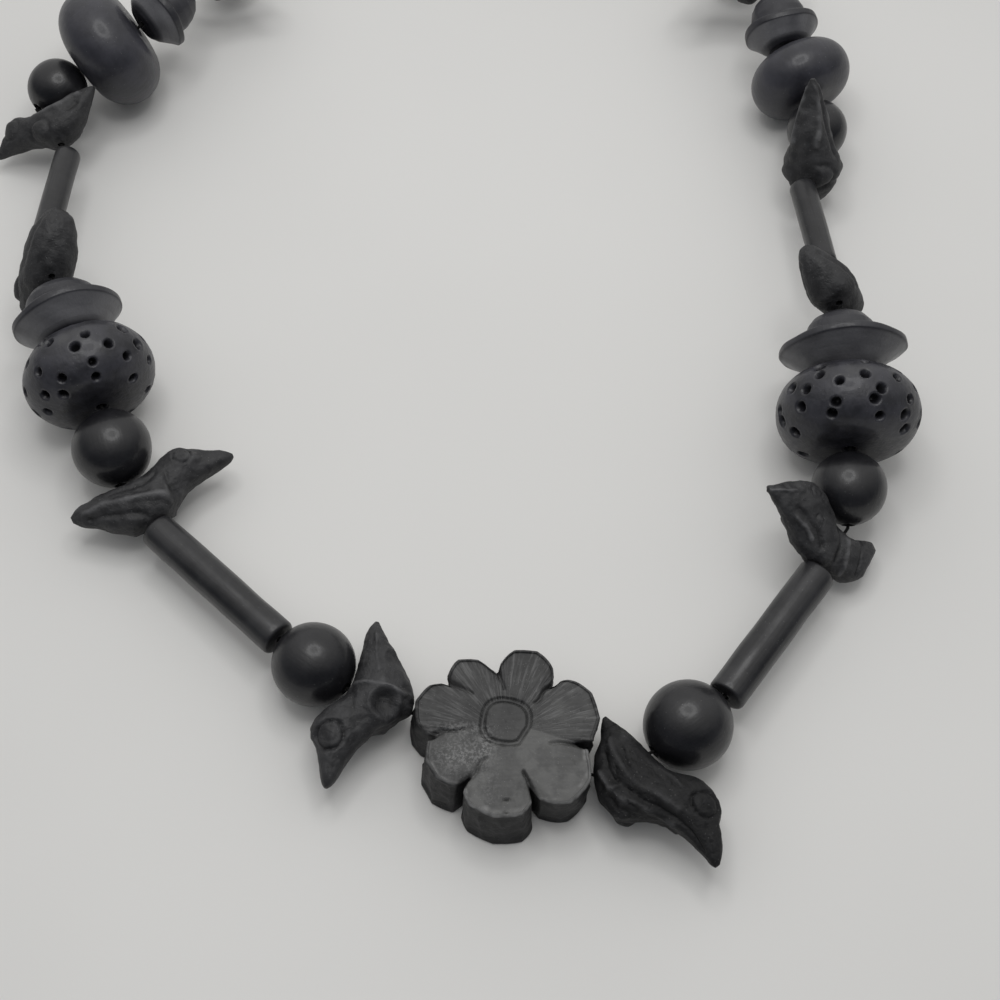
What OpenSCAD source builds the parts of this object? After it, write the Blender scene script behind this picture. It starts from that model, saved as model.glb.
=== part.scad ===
// Carved bead necklace, laid out on a table: a seven-petalled flower at the front,
// then birds, balls, tubes, pierced beads and hat beads up both sides, and a clasp at the back.
// Millimetres. +Z is up, the flower lies at the -Y side, and the table is at z = 0.

/* [Flower] */
// Width of the flower across its petals
flower_w = 26; // [24:0.5:26]
// Thickness of the flower
flower_t = 9; // [8.6:0.2:9.4]
// Diameter of the engraved ring in the middle
ring_d = 7; // [6:0.5:8]
// Width of the notches and engraved lines
cut_w = 0.9; // [0.6:0.1:1.2]
// Depth of the engraved lines
cut_depth = 0.8; // [0.4:0.1:1]

/* [Balls and tubes] */
// Diameter of the left balls near the flower
ball_d = 12; // [11.6:0.1:12]
// Diameter of the first ball on the right
ball_r1_d = 12.6; // [12.2:0.1:12.6]
// Diameter of the second ball on the right
ball_r2_d = 11.2; // [10.8:0.1:11.2]
// Diameter of the balls further up the strand
far_ball_d = 10.2; // [9.8:0.1:10.2]
// Diameter of the long tubes
tube_d = 5.6; // [5:0.1:6]
// Length of the left long tube
long_tube_l = 26; // [25.5:0.5:27]
// Length of the right long tube
long_tube_r = 24; // [23.5:0.5:25]
// Diameter of the thin tubes
thin_tube_d = 4.4; // [4:0.1:4.8]
// Length of the left thin tube
thin_tube_l = 19.5; // [19:0.5:20]
// Length of the right thin tube
thin_tube_r = 18; // [17.5:0.5:18.5]
// Length of the thin tubes beside the clasp
back_tube = 14; // [13:0.5:15]

/* [Turned beads] */
// Diameter of the left pierced bead
pierced_l_d = 20.2; // [19.6:0.1:20.4]
// Diameter of the right pierced bead
pierced_r_d = 21.6; // [21:0.1:21.6]
// Diameter of the left big bead
big_l_d = 21; // [20.4:0.1:21]
// Diameter of the right big bead
big_r_d = 17.4; // [16.8:0.1:17.4]
// Length of the pierced beads and the left big bead along the thread
bead_l = 11.8; // [11.4:0.1:12]
// Length of the right big bead along the thread
big_l = 10; // [9.6:0.1:10]
// Diameter of the punched holes
hole_d = 1.4; // [1.2:0.1:1.6]
// Diameter of the left hat bead's brim
brim_l = 17; // [16:0.1:17.4]
// Diameter of the right hat bead's brim
brim_r = 19.4; // [18.6:0.1:19.4]
// Diameter of the hat beads' domes
dome_d = 11.2; // [10.8:0.1:11.6]
// Length of the hat beads along the thread
hat_l = 12; // [11.6:0.1:12.4]
// Diameter of the small hat beads' brims
small_brim = 13; // [12:0.1:13.4]
// Diameter of the small hat beads' domes
small_dome = 9.6; // [9:0.1:10]
// Length of the small hat beads along the thread
small_hat_l = 11; // [10.6:0.1:11.4]

/* [Birds] */
// Length of the largest birds from tail tip to beak tip
bird_l = 25.4; // [24.6:0.2:25.8]
// Thickness of their bodies from flank to flank
bird_t = 8; // [7.6:0.1:8.2]

/* [Thread] */
// Diameter of the thread
thread_d = 0.5; // [0.4:0.1:0.7]
// Diameter of the hole through each bead
bore_d = 1.8; // [1.6:0.1:2]
// Gap between neighbours on the thread
bead_gap = 0.3; // [0.25:0.05:0.35]
// Further room on the thread for a bead that tilts against its neighbours
tilt_room = 0.8; // [0.8:0.1:1]

/* [Hidden] */

$fn = 48;
black_clay = [0.17, 0.17, 0.18];
thread_grey = [0.3, 0.3, 0.3];

// Where the flower's middle lies, so that the whole necklace is centred on the origin
flower_at = [12.5, -87.1];
// Heading of the flower's bore, and how far it runs to the left and right of the middle
flower_heading = -20;
flower_left = 14.2;
flower_right = 13.2;

// Petals, counterclockwise. Columns: angle of the notch before the petal, rim radius at that
// notch, radius where the notch's engraved line ends, reach of the petal
PETAL_ANGLE = 0;
PETAL_RIM = 1;
PETAL_LINE = 2;
PETAL_REACH = 3;
petals = [
    [ -7, 12.2, 6.2, 13.5],
    [ 49, 10.8, 5.8, 13.3],
    [ 97, 10.0, 6.8, 12.4],
    [136, 11.2, 7.0, 14.2],
    [180, 10.9, 5.6, 12.3],
    [231, 10.6, 4.2, 12.6],
    [293, 10.0, 6.0, 12.9]
];
petal_scale = flower_w / 26;
ring_shift = [0, 1.8];
notch_length = 2.4;
petal_steps = 10;

// Beads up each side, from the flower outward. Columns: name, length along the thread,
// heading of the bore on the table, height of the thread at the bead's far end
NAME = 0;
LENGTH = 1;
HEADING = 2;
FAR_HEIGHT = 3;
left_strand = [
    ["bird_l1",        9.2, 161, 5.9],
    ["ball_l1",        ball_d + 0.2, 143, 6.3],
    ["long_tube_l",    long_tube_l, 137, 5.8],
    ["bird_l2",        8.6, 130, 5.8],
    ["ball_l2",        ball_d + 0.6, 107, 9.6],
    ["pierced_bead_l", bead_l, 114, 10.9],
    ["hat_bead_l",     hat_l + tilt_room, 113, 13.4],
    ["bird_l3",        10.2, 108, 10.2],
    ["thin_tube_l",    thin_tube_l, 88, 7.8],
    ["bird_l4",        11.8, 124, 7.6],
    ["ball_l3",        far_ball_d + 0.4, 54, 8.6],
    ["big_bead_l",     bead_l + 0.7, 27, 12.9],
    ["small_hat_l",    small_hat_l + tilt_room + 0.4, 42, 14.4],
    ["bird_l5",        9.4, 76, 10]
];
right_strand = [
    ["bird_r1",        8.3, 21, 6.2],
    ["ball_r1",        ball_r1_d + 0.2, 38, 6.6],
    ["long_tube_r",    long_tube_r, 53, 6.2],
    ["bird_r2",        8.4, 55, 6.4],
    ["ball_r2",        ball_r2_d + 0.2, 86, 10.3],
    ["pierced_bead_r", bead_l, 88, 11.5],
    ["hat_bead_r",     hat_l + tilt_room, 92, 14.4],
    ["bird_r3",        10.2, 92, 10.2],
    ["thin_tube_r",    thin_tube_r, 95, 8.2],
    ["bird_r4",        8.4, 62, 7.2],
    ["ball_r3",        far_ball_d + 0.4, 92, 7.4],
    ["big_bead_r",     big_l + 0.4, 112, 10.2],
    ["small_hat_r",    small_hat_l + tilt_room, 103, 13.6],
    ["bird_r5",        10.8, 102, 10]
];

// How each bird sits on its bore. Columns: name, distance of the bore's middle from the tail
// tip, its offset towards the back, angle from the thread to the beak, roll about the thread,
// size against the largest birds
BORE_ALONG = 1;
BORE_OFFSET = 2;
TURN = 3;
ROLL = 4;
SIZE = 5;
birds = [
    ["bird_l1", 11.5, -2.9,   97,   0, 1],
    ["bird_l2", 10.5, -3.1, -102,   0, 1],
    ["bird_l3", 13.0, -2.3,   92, -70, 0.84],
    ["bird_l4", 12.0, -2.9,   80, -26, 0.84],
    ["bird_l5", 10.5, -3.1,  -88,   0, 0.84],
    ["bird_r1",  6.4, -2.9,  -79,   0, 1],
    ["bird_r2",  8.5, -3.2,  104,  40, 0.85],
    ["bird_r3", 13.5, -2.1,  -90,  60, 0.84],
    ["bird_r4", 16.8, -0.2,  104, -90, 0.92],
    ["bird_r5", 10.5, -3.1,   76,   0, 0.84]
];

// Outline of a bird seen from its flank. Columns: distance from the tail tip, back line,
// belly line, thickness, all for a bird 25.4 long and 8 thick
ALONG = 0;
BACK = 1;
BELLY = 2;
THICK = 3;
bird_sections = [
    [ 0.0, 0.3, -0.5, 0.8],
    [ 0.8, 0.7, -1.4, 2.0],
    [ 2.5, 1.1, -3.0, 3.6],
    [ 5.0, 1.4, -5.4, 5.8],
    [ 8.0, 1.4, -7.2, 7.6],
    [10.5, 1.3, -7.5, 8.0],
    [13.0, 1.8, -6.6, 7.8],
    [15.0, 3.0, -4.8, 6.8],
    [17.0, 4.5, -3.4, 6.4],
    [18.8, 4.8, -2.6, 6.0],
    [20.4, 3.5, -2.0, 4.8],
    [22.0, 2.4, -1.6, 3.6],
    [24.2, 1.2, -0.9, 2.0],
    [25.4, 0.4, -0.4, 0.8]
];
bird_sides = 16;

// Rows of punched holes round a pierced bead. Columns: place along the thread, count, first angle
HOLE_PLACE = 0;
HOLE_COUNT = 1;
FIRST_ANGLE = 2;
hole_rows = [
    [-3.6,  8,  0],
    [-1.2, 10, 18],
    [ 1.2, 10,  0],
    [ 3.6,  8, 22]
];
hole_depth = 2.2;

// The hidden stretch is one arc over the table
back_height = 5.4;
arc_rise = 44;
back_lengths = [far_ball_d, long_tube_r, far_ball_d, back_tube];
clasp_d = 6.4;
thread_sides = 8;

function rise_of(run, drop) = asin(drop / run);

// Directions and joints along a strand
function step(row, near_height) =
    let (run = row[LENGTH] + bead_gap, lift = rise_of(run, row[FAR_HEIGHT] - near_height))
    run * [cos(lift) * cos(row[HEADING]), cos(lift) * sin(row[HEADING]), sin(lift)];
function joints(strand, start) = [
    for (i = 0, p = start; i <= len(strand);
        p = i < len(strand) ? p + step(strand[i], p.z) : p, i = i + 1) p
];

bore_height = flower_t / 2;
bore_way = [cos(flower_heading), sin(flower_heading), 0];
flower_middle = [flower_at.x, flower_at.y, bore_height];
left_joints = joints(left_strand, flower_middle - flower_left * bore_way);
right_joints = joints(right_strand, flower_middle + flower_right * bore_way);

// The arc at the back, through both strands' last joints
left_end = left_joints[len(left_strand)];
right_end = right_joints[len(right_strand)];
chord = norm(right_end - left_end);
chord_angle = atan2(right_end.y - left_end.y, right_end.x - left_end.x);
arc_r = (chord * chord / 4 + arc_rise * arc_rise) / (2 * arc_rise);
arc_middle = (left_end + right_end) / 2 + (arc_rise - arc_r) * [-sin(chord_angle), cos(chord_angle), 0];
left_angle = atan2(left_end.y - arc_middle.y, left_end.x - arc_middle.x);
right_angle = atan2(right_end.y - arc_middle.y, right_end.x - arc_middle.x);
function arc_step(length) = 2 * asin((length + tilt_room) / 2 / arc_r);
function arc_point(a, height) = [arc_middle.x + arc_r * cos(a), arc_middle.y + arc_r * sin(a), height];
function arc_points(first, sign, near_height) = [
    for (i = 0, a = first; i <= len(back_lengths);
        a = i < len(back_lengths) ? a + sign * arc_step(back_lengths[i]) : a, i = i + 1)
        arc_point(a, i == 0 ? near_height : back_height)
];
left_back = arc_points(left_angle, -1, left_end.z);
right_back = arc_points(right_angle, 1, right_end.z);
clasp_ends = [left_back[len(back_lengths)], right_back[len(back_lengths)]];
clasp_l = norm(clasp_ends[1] - clasp_ends[0]) - tilt_room;

// Puts a bead's own X axis on the line between two joints, with its middle halfway
module between(a, b) {
    way = b - a;
    translate((a + b) / 2)
        rotate([0, -asin(way.z / norm(way)), atan2(way.y, way.x)])
            children();
}
function place_of(name, table) = search([name], table, 1, NAME)[0];
module on_left(name) {
    i = place_of(name, left_strand);
    between(left_joints[i], left_joints[i + 1]) children();
}
module on_right(name) {
    i = place_of(name, right_strand);
    between(right_joints[i], right_joints[i + 1]) children();
}
module on_left_back(i) { between(left_back[i], left_back[i + 1]) children(); }
module on_right_back(i) { between(right_back[i], right_back[i + 1]) children(); }

// A bead turned about its X axis: its profile is drawn with the axis upright
module turned() { rotate([0, 90, 0]) rotate_extrude($fn = 64) children(); }
module bore(length) {
    rotate([0, 90, 0]) cylinder(h = length + 2, d = bore_d, center = true, $fn = 24);
}

module ball(d) {
    color(black_clay) turned() intersection() {
        circle(d = d, $fn = 64);
        translate([bore_d / 2, -d / 2]) square([d / 2, d]);
    }
}

module tube(length, d) {
    color(black_clay) difference() {
        rotate([0, 90, 0]) cylinder(h = length, d = d, center = true);
        bore(length);
    }
}

// A wide bead with a round rim and flat ends
module wide_bead(d, length) {
    difference() {
        turned() {
            translate([(d - length) / 2, 0]) intersection() {
                circle(d = length, $fn = 64);
                translate([0, -length / 2]) square(length);
            }
            translate([0, -length / 2]) square([(d - length) / 2, length]);
        }
        bore(length);
    }
}

// A punched hole stands square to the rim where it is
module punched_hole(d, place, angle) {
    lean = asin(place / (bead_l / 2));
    rotate([angle, 0, 0])
        translate([0, 0, (d - bead_l) / 2])
            rotate([0, lean, 0])
                translate([0, 0, bead_l / 2 - hole_depth])
                    cylinder(h = hole_depth + 1, d = hole_d, $fn = 20);
}

module pierced_bead(d) {
    color(black_clay) difference() {
        wide_bead(d, bead_l);
        for (row = hole_rows)
            for (i = [0 : row[HOLE_COUNT] - 1])
                punched_hole(d, row[HOLE_PLACE], row[FIRST_ANGLE] + i * 360 / row[HOLE_COUNT]);
    }
}

module big_bead(d, length) { color(black_clay) wide_bead(d, length); }

// The hub is at the near end, its face flares out to the brim, and the dome is at the far end
module hat_bead(brim, dome, length) {
    hub_r = 0.375 * dome;
    hub_edge = 1;
    flare = 0.28 * length;
    brim_t = 1.3;
    dome_r = dome / 2;
    base = flare + brim_t;
    color(black_clay) difference() {
        translate([-length / 2, 0, 0]) turned() {
            polygon([[0, 0], [hub_r - hub_edge, 0], [hub_r, hub_edge / 2], [brim / 2, flare],
                [brim / 2, base], [dome_r, base + 0.8], [0, base + 0.8]]);
            translate([0, base]) square([dome_r, length - dome_r - base]);
            translate([0, length - dome_r]) intersection() {
                circle(r = dome_r, $fn = 64);
                square(dome_r);
            }
        }
        bore(length);
    }
}

module small_hat() { hat_bead(small_brim, small_dome, small_hat_l); }

// A plain barrel whose two blind bores take the thread's ends
module clasp() {
    end_r = 1.6;
    stop = 3;
    color(black_clay) between(clasp_ends[0], clasp_ends[1]) difference() {
        turned() {
            translate([0, -clasp_l / 2]) square([clasp_d / 2 - end_r, clasp_l]);
            translate([0, end_r - clasp_l / 2]) square([clasp_d / 2, clasp_l - 2 * end_r]);
            for (end = [-1, 1])
                translate([clasp_d / 2 - end_r, end * (clasp_l / 2 - end_r)]) circle(r = end_r);
        }
        for (end = [-1, 1])
            translate([end * clasp_l / 2, 0, 0]) bore(2 * stop - 2);
    }
}

// The flower's rim bulges from notch to notch
function petal_point(i, t) =
    let (
        from = petals[i],
        to = petals[(i + 1) % len(petals)],
        sweep = (to[PETAL_ANGLE] - from[PETAL_ANGLE] + 360) % 360,
        angle = from[PETAL_ANGLE] + sweep * t,
        rim = from[PETAL_RIM] + (to[PETAL_RIM] - from[PETAL_RIM]) * t,
        radius = rim + (from[PETAL_REACH] - rim) * pow(sin(180 * t), 0.6)
    )
    petal_scale * radius * [cos(angle), sin(angle)];

module flower() {
    color(black_clay) translate([flower_at.x, flower_at.y, 0]) difference() {
        linear_extrude(flower_t)
            polygon([for (i = [0 : len(petals) - 1]) for (j = [0 : petal_steps - 1])
                petal_point(i, j / petal_steps)]);
        for (petal = petals) rotate(petal[PETAL_ANGLE]) {
            rim = petal_scale * petal[PETAL_RIM];
            line = petal_scale * petal[PETAL_LINE];
            translate([rim - notch_length, -cut_w / 2, -1])
                cube([notch_length + 3, cut_w, flower_t + 2]);
            translate([line, -cut_w / 2, flower_t - cut_depth])
                cube([rim - line, cut_w, cut_depth + 1]);
        }
        translate([ring_shift.x, ring_shift.y, flower_t - cut_depth]) difference() {
            cylinder(h = cut_depth + 1, d = ring_d + cut_w);
            translate([0, 0, -1]) cylinder(h = cut_depth + 3, d = ring_d - cut_w);
        }
        translate([0, 0, bore_height]) rotate(flower_heading) bore(flower_left + flower_right + 4);
    }
}

// A bird in its own axes: X from tail to beak, Y towards the back, Z from flank to flank
function bird_ring(row) =
    let (
        depth = (row[BACK] - row[BELLY]) / 2,
        middle = (row[BACK] + row[BELLY]) / 2,
        half = row[THICK] / 2 * bird_t / 8
    )
    [for (k = [0 : bird_sides - 1]) let (a = 360 * k / bird_sides)
        [row[ALONG] * bird_l / 25.4, middle + depth * cos(a), half * sin(a)]];

module bird_body() {
    rings = len(bird_sections);
    points = [for (row = bird_sections) for (p = bird_ring(row)) p];
    sides = [for (r = [0 : rings - 2]) for (k = [0 : bird_sides - 1])
        let (next = (k + 1) % bird_sides, a = r * bird_sides, b = a + bird_sides)
        each [[a + k, b + next, a + next], [a + k, b + k, b + next]]];
    tail_cap = [for (k = [0 : bird_sides - 1]) k];
    beak_cap = [for (k = [bird_sides - 1 : -1 : 0]) (rings - 1) * bird_sides + k];
    polyhedron(points, concat(sides, [tail_cap, beak_cap]), convexity = 4);
}

// The belly faces the flower, so a bird whose beak points left of the thread is turned over
module bird(name) {
    row = birds[place_of(name, birds)];
    color(black_clay) rotate([row[ROLL], 0, 0]) difference() {
        rotate(row[TURN])
            rotate([row[TURN] > 0 ? 180 : 0, 0, 0])
                scale(row[SIZE])
                    translate([-row[BORE_ALONG], -row[BORE_OFFSET], 0])
                        bird_body();
        bore(bird_l);
    }
}

// The thread is one tube through every joint, from one end of the clasp round to the other
function reversed(list) = [for (i = [len(list) - 1 : -1 : 0]) list[i]];
clasp_way = (clasp_ends[1] - clasp_ends[0]) / norm(clasp_ends[1] - clasp_ends[0]);
thread_route = concat(
    [clasp_ends[0] + 2 * clasp_way],
    reversed(left_back),
    reversed([for (i = [0 : len(left_strand) - 1]) left_joints[i]]),
    [for (i = [0 : len(right_strand) - 1]) right_joints[i]],
    right_back,
    [clasp_ends[1] - 2 * clasp_way]
);

function unit(v) = v / norm(v);
function thread_ring(i) =
    let (
        n = len(thread_route),
        before = thread_route[max(i - 1, 0)],
        after = thread_route[min(i + 1, n - 1)],
        here = thread_route[i],
        into = i == 0 ? unit(after - here) : unit(here - before),
        out = i == n - 1 ? into : unit(after - here),
        way = unit(into + out),
        side = unit(cross(way, [0, 0, 1])),
        top = cross(side, way)
    )
    [for (k = [0 : thread_sides - 1]) let (a = 360 * k / thread_sides)
        here + thread_d / 2 * (cos(a) * side + sin(a) * top)];

module thread() {
    n = len(thread_route);
    points = [for (i = [0 : n - 1]) for (p = thread_ring(i)) p];
    sides = [for (r = [0 : n - 2]) for (k = [0 : thread_sides - 1])
        let (next = (k + 1) % thread_sides, a = r * thread_sides, b = a + thread_sides)
        each [[a + k, b + next, b + k], [a + k, a + next, b + next]]];
    first_cap = [for (k = [thread_sides - 1 : -1 : 0]) k];
    last_cap = [for (k = [0 : thread_sides - 1]) (n - 1) * thread_sides + k];
    color(thread_grey) polyhedron(points, concat(sides, [first_cap, last_cap]), convexity = 6);
}

flower();
thread();
clasp();
on_left("bird_l1") bird("bird_l1");  // bird_l1
on_left("ball_l1") ball(ball_d);  // ball_l1
on_left("long_tube_l") tube(long_tube_l, tube_d);
on_left("bird_l2") bird("bird_l2");  // bird_l2
on_left("ball_l2") ball(ball_d);  // ball_l2
on_left("pierced_bead_l") pierced_bead(pierced_l_d);  // pierced_bead_l
on_left("hat_bead_l") hat_bead(brim_l, dome_d, hat_l);  // hat_bead_l
on_left("bird_l3") bird("bird_l3");  // bird_l3
on_left("thin_tube_l") tube(thin_tube_l, thin_tube_d);
on_left("bird_l4") bird("bird_l4");  // bird_l4
on_left("ball_l3") ball(far_ball_d);  // ball_l3
on_left("big_bead_l") big_bead(big_l_d, bead_l);  // big_bead_l
on_left("small_hat_l") small_hat();  // small_hat_l
on_left("bird_l5") bird("bird_l5");  // bird_l5
on_right("bird_r1") bird("bird_r1");  // bird_r1
on_right("ball_r1") ball(ball_r1_d);  // ball_r1
on_right("long_tube_r") tube(long_tube_r, tube_d);
on_right("bird_r2") bird("bird_r2");  // bird_r2
on_right("ball_r2") ball(ball_r2_d);  // ball_r2
on_right("pierced_bead_r") pierced_bead(pierced_r_d);  // pierced_bead_r
on_right("hat_bead_r") hat_bead(brim_r, dome_d, hat_l);  // hat_bead_r
on_right("bird_r3") bird("bird_r3");  // bird_r3
on_right("thin_tube_r") tube(thin_tube_r, thin_tube_d);
on_right("bird_r4") bird("bird_r4");  // bird_r4
on_right("ball_r3") ball(far_ball_d);  // ball_r3
on_right("big_bead_r") big_bead(big_r_d, big_l);  // big_bead_r
on_right("small_hat_r") small_hat();  // small_hat_r
on_right("bird_r5") bird("bird_r5");  // bird_r5
on_left_back(0) ball(far_ball_d);  // back_ball_l1
on_left_back(1) tube(long_tube_r, tube_d);  // back_tube_l1
on_left_back(2) ball(far_ball_d);  // back_ball_l2
on_left_back(3) tube(back_tube, thin_tube_d);  // back_tube_l2
on_right_back(0) ball(far_ball_d);  // back_ball_r1
on_right_back(1) tube(long_tube_r, tube_d);  // back_tube_r1
on_right_back(2) ball(far_ball_d);  // back_ball_r2
on_right_back(3) tube(back_tube, thin_tube_d);  // back_tube_r2
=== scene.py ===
import math
import bpy
import numpy as np
from mathutils import Matrix, Vector


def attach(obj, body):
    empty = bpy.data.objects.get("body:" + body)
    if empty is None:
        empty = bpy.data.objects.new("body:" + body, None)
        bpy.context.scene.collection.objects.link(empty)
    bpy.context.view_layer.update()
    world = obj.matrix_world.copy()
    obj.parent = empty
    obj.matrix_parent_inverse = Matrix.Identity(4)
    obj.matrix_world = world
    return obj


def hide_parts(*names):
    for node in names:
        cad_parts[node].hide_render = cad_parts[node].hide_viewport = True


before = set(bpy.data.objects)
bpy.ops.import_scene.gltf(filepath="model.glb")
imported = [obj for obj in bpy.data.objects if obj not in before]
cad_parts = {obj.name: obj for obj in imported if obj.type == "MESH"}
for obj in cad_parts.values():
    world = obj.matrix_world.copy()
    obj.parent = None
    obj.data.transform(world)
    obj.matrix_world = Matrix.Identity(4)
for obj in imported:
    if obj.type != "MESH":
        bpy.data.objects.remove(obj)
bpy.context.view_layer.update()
print("fixed frame:", len(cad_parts), "beads and other pieces")

mm = 0.001

# Camera, looking down at the flower's end of the necklace. Millimetres and degrees
viewSetup = {"eye": (11.7, -171.4, 218.0), "pitch": 60.0, "lens": 59.4, "sensor": 36.0}

cameraData = bpy.data.cameras.new("tableCamera")
cameraData.lens = viewSetup["lens"]
cameraData.sensor_width = viewSetup["sensor"]
cameraData.clip_start = 0.01
camera = bpy.data.objects.new("tableCamera", cameraData)
camera.location = Vector(viewSetup["eye"]) * mm
camera.rotation_euler = (math.radians(90 - viewSetup["pitch"]), 0, 0)
bpy.context.scene.collection.objects.link(camera)
bpy.context.scene.camera = camera


# Where each bead is threaded. The flower's bore starts the route on both sides
flowerPlace = {"x": 12.5, "y": -87.1, "thickness": 9.0, "heading": -20, "toLeft": 14.2, "toRight": 13.2}
beadGap = 0.3  # between neighbours on the thread
tiltRoom = 0.8  # more room where the thread bends beside a bead
boreWidth = 1.8  # in the turned beads
narrowBore = 1.1  # in the tubes, the birds and the flower

# bead, length on the thread, heading on the table, height of the thread at the far end
leftStrand = [
    ("bird_l1", 9.2, 161, 5.9),
    ("ball_l1", 12.2, 143, 6.3),
    ("long_tube_l", 26, 137, 5.8),
    ("bird_l2", 8.6, 130, 5.8),
    ("ball_l2", 12.6, 107, 9.6),
    ("pierced_bead_l", 11.8, 114, 10.9),
    ("hat_bead_l", 12 + tiltRoom, 113, 13.4),
    ("bird_l3", 10.2, 108, 10.2),
    ("thin_tube_l", 19.5, 88, 7.8),
    ("bird_l4", 11.8, 124, 7.6),
    ("ball_l3", 10.6, 54, 8.6),
    ("big_bead_l", 12.5, 27, 12.9),
    ("small_hat_l", 11.4 + tiltRoom, 42, 14.4),
    ("bird_l5", 9.4, 76, 10),
]
rightStrand = [
    ("bird_r1", 8.3, 21, 6.2),
    ("ball_r1", 12.8, 38, 6.6),
    ("long_tube_r", 24, 53, 6.2),
    ("bird_r2", 8.4, 55, 6.4),
    ("ball_r2", 11.4, 86, 10.3),
    ("pierced_bead_r", 11.8, 88, 11.5),
    ("hat_bead_r", 12 + tiltRoom, 92, 14.4),
    ("bird_r3", 10.2, 92, 10.2),
    ("thin_tube_r", 18, 95, 8.2),
    ("bird_r4", 8.4, 62, 7.2),
    ("ball_r3", 10.6, 92, 7.4),
    ("big_bead_r", 10.4, 112, 10.2),
    ("small_hat_r", 11 + tiltRoom, 103, 13.6),
    ("bird_r5", 10.8, 102, 10),
]
backArc = {"rise": 44, "height": 5.4, "lengths": (10.2, 24, 10.2, 14)}
backNames = ("back_ball_{}1", "back_tube_{}1", "back_ball_{}2", "back_tube_{}2")


def turned(angle, axis):
    return Matrix.Rotation(math.radians(angle), 4, axis)


def between(a, b):  # a bead's own frame: X runs along the thread, the middle is halfway
    way = b - a
    heading = math.degrees(math.atan2(way.y, way.x))
    lift = math.degrees(math.asin(way.z / way.length))
    return Matrix.Translation((a + b) / 2 * mm) @ turned(heading, "Z") @ turned(-lift, "Y")


def threadStrand(strand, start, places):  # places the beads one after another, gives where the last one ends
    here = start
    for bead, length, heading, farHeight in strand:
        run = length + beadGap
        lift = math.asin((farHeight - here.z) / run)
        flat = math.radians(heading)
        way = Vector((math.cos(lift) * math.cos(flat), math.cos(lift) * math.sin(flat), math.sin(lift)))
        places[bead] = between(here, here + run * way)
        here = here + run * way
    return here


def threadArc(leftEnd, rightEnd, places):  # closes the loop at the back, gives the clasp's length
    chord = (rightEnd - leftEnd).length
    rise = backArc["rise"]
    radius = (chord * chord / 4 + rise * rise) / (2 * rise)
    across = (rightEnd - leftEnd).normalized()
    middle = (leftEnd + rightEnd) / 2 + (rise - radius) * Vector((-across.y, across.x, 0))
    ends = []
    for end, side, sign in ((leftEnd, "l", -1), (rightEnd, "r", 1)):
        angle = math.atan2(end.y - middle.y, end.x - middle.x)
        here = end
        for name, length in zip(backNames, backArc["lengths"]):
            angle += sign * 2 * math.asin((length + tiltRoom) / 2 / radius)
            after = Vector((middle.x + radius * math.cos(angle), middle.y + radius * math.sin(angle),
                            backArc["height"]))
            places[name.format(side)] = between(here, after)
            here = after
        ends.append(here)
    places["clasp"] = between(*ends)
    return (ends[1] - ends[0]).length - tiltRoom


beadPlace = {}
boreWay = turned(flowerPlace["heading"], "Z") @ Vector((1, 0, 0))
flowerMiddle = Vector((flowerPlace["x"], flowerPlace["y"], flowerPlace["thickness"] / 2))
leftEnd = threadStrand(leftStrand, flowerMiddle - flowerPlace["toLeft"] * boreWay, beadPlace)
rightEnd = threadStrand(rightStrand, flowerMiddle + flowerPlace["toRight"] * boreWay, beadPlace)
claspLength = threadArc(leftEnd, rightEnd, beadPlace)
# how far a bead sits along the thread from the middle of its place
beadSlide = {
    "ball_l1": -0.4, "long_tube_l": -0.25, "bird_l3": -2.7, "small_hat_l": -0.3,
    "ball_r1": -0.5, "long_tube_r": -0.25, "bird_r2": -0.3, "ball_r2": 0.12, "bird_r3": -2.6, "bird_r4": 0.3,
}
for bead, slide in beadSlide.items():
    beadPlace[bead] = beadPlace[bead] @ Matrix.Translation((slide * mm, 0, 0))
print("route:", len(beadPlace), "beads placed, clasp", round(claspLength, 1), "mm")


# Tools for the shapes. A grid is an array of rows and columns of points in millimetres
def unevenness(points, size, seed, count=14):  # smooth waviness of about this size, from -1 to 1
    dice = np.random.default_rng(seed)
    ways = dice.normal(size=(count, 3))
    ways /= np.linalg.norm(ways, axis=1)[:, None]
    rates = 2 * np.pi / size * dice.uniform(0.6, 1.4, count)
    phases = dice.uniform(0, 2 * np.pi, count)
    return np.sin(points @ (ways * rates[:, None]).T + phases).sum(-1) / count * 1.9


def smoothStep(low, high, value):  # 0 up to low, 1 from high on, soft between them
    t = np.clip((value - low) / (high - low), 0, 1)
    return t * t * (3 - 2 * t)


def gridNormals(grid, closedRows):  # the way out of the surface at each point
    if closedRows:
        alongRows = np.roll(grid, -1, 0) - np.roll(grid, 1, 0)
    else:
        alongRows = np.gradient(grid, axis=0)
    alongCols = np.roll(grid, -1, 1) - np.roll(grid, 1, 1)
    normals = np.cross(alongCols, alongRows)
    return normals / np.maximum(np.linalg.norm(normals, axis=-1), 1e-9)[..., None]


def gridFaces(rows, cols, closedRows):
    r = np.arange(rows if closedRows else rows - 1)[:, None]
    c = np.arange(cols)[None, :]
    nextRow, nextCol = (r + 1) % rows, (c + 1) % cols
    corners = [r * cols + c, r * cols + nextCol, nextRow * cols + nextCol, nextRow * cols + c]
    return np.stack(corners, -1).reshape(-1, 4).tolist()


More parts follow.
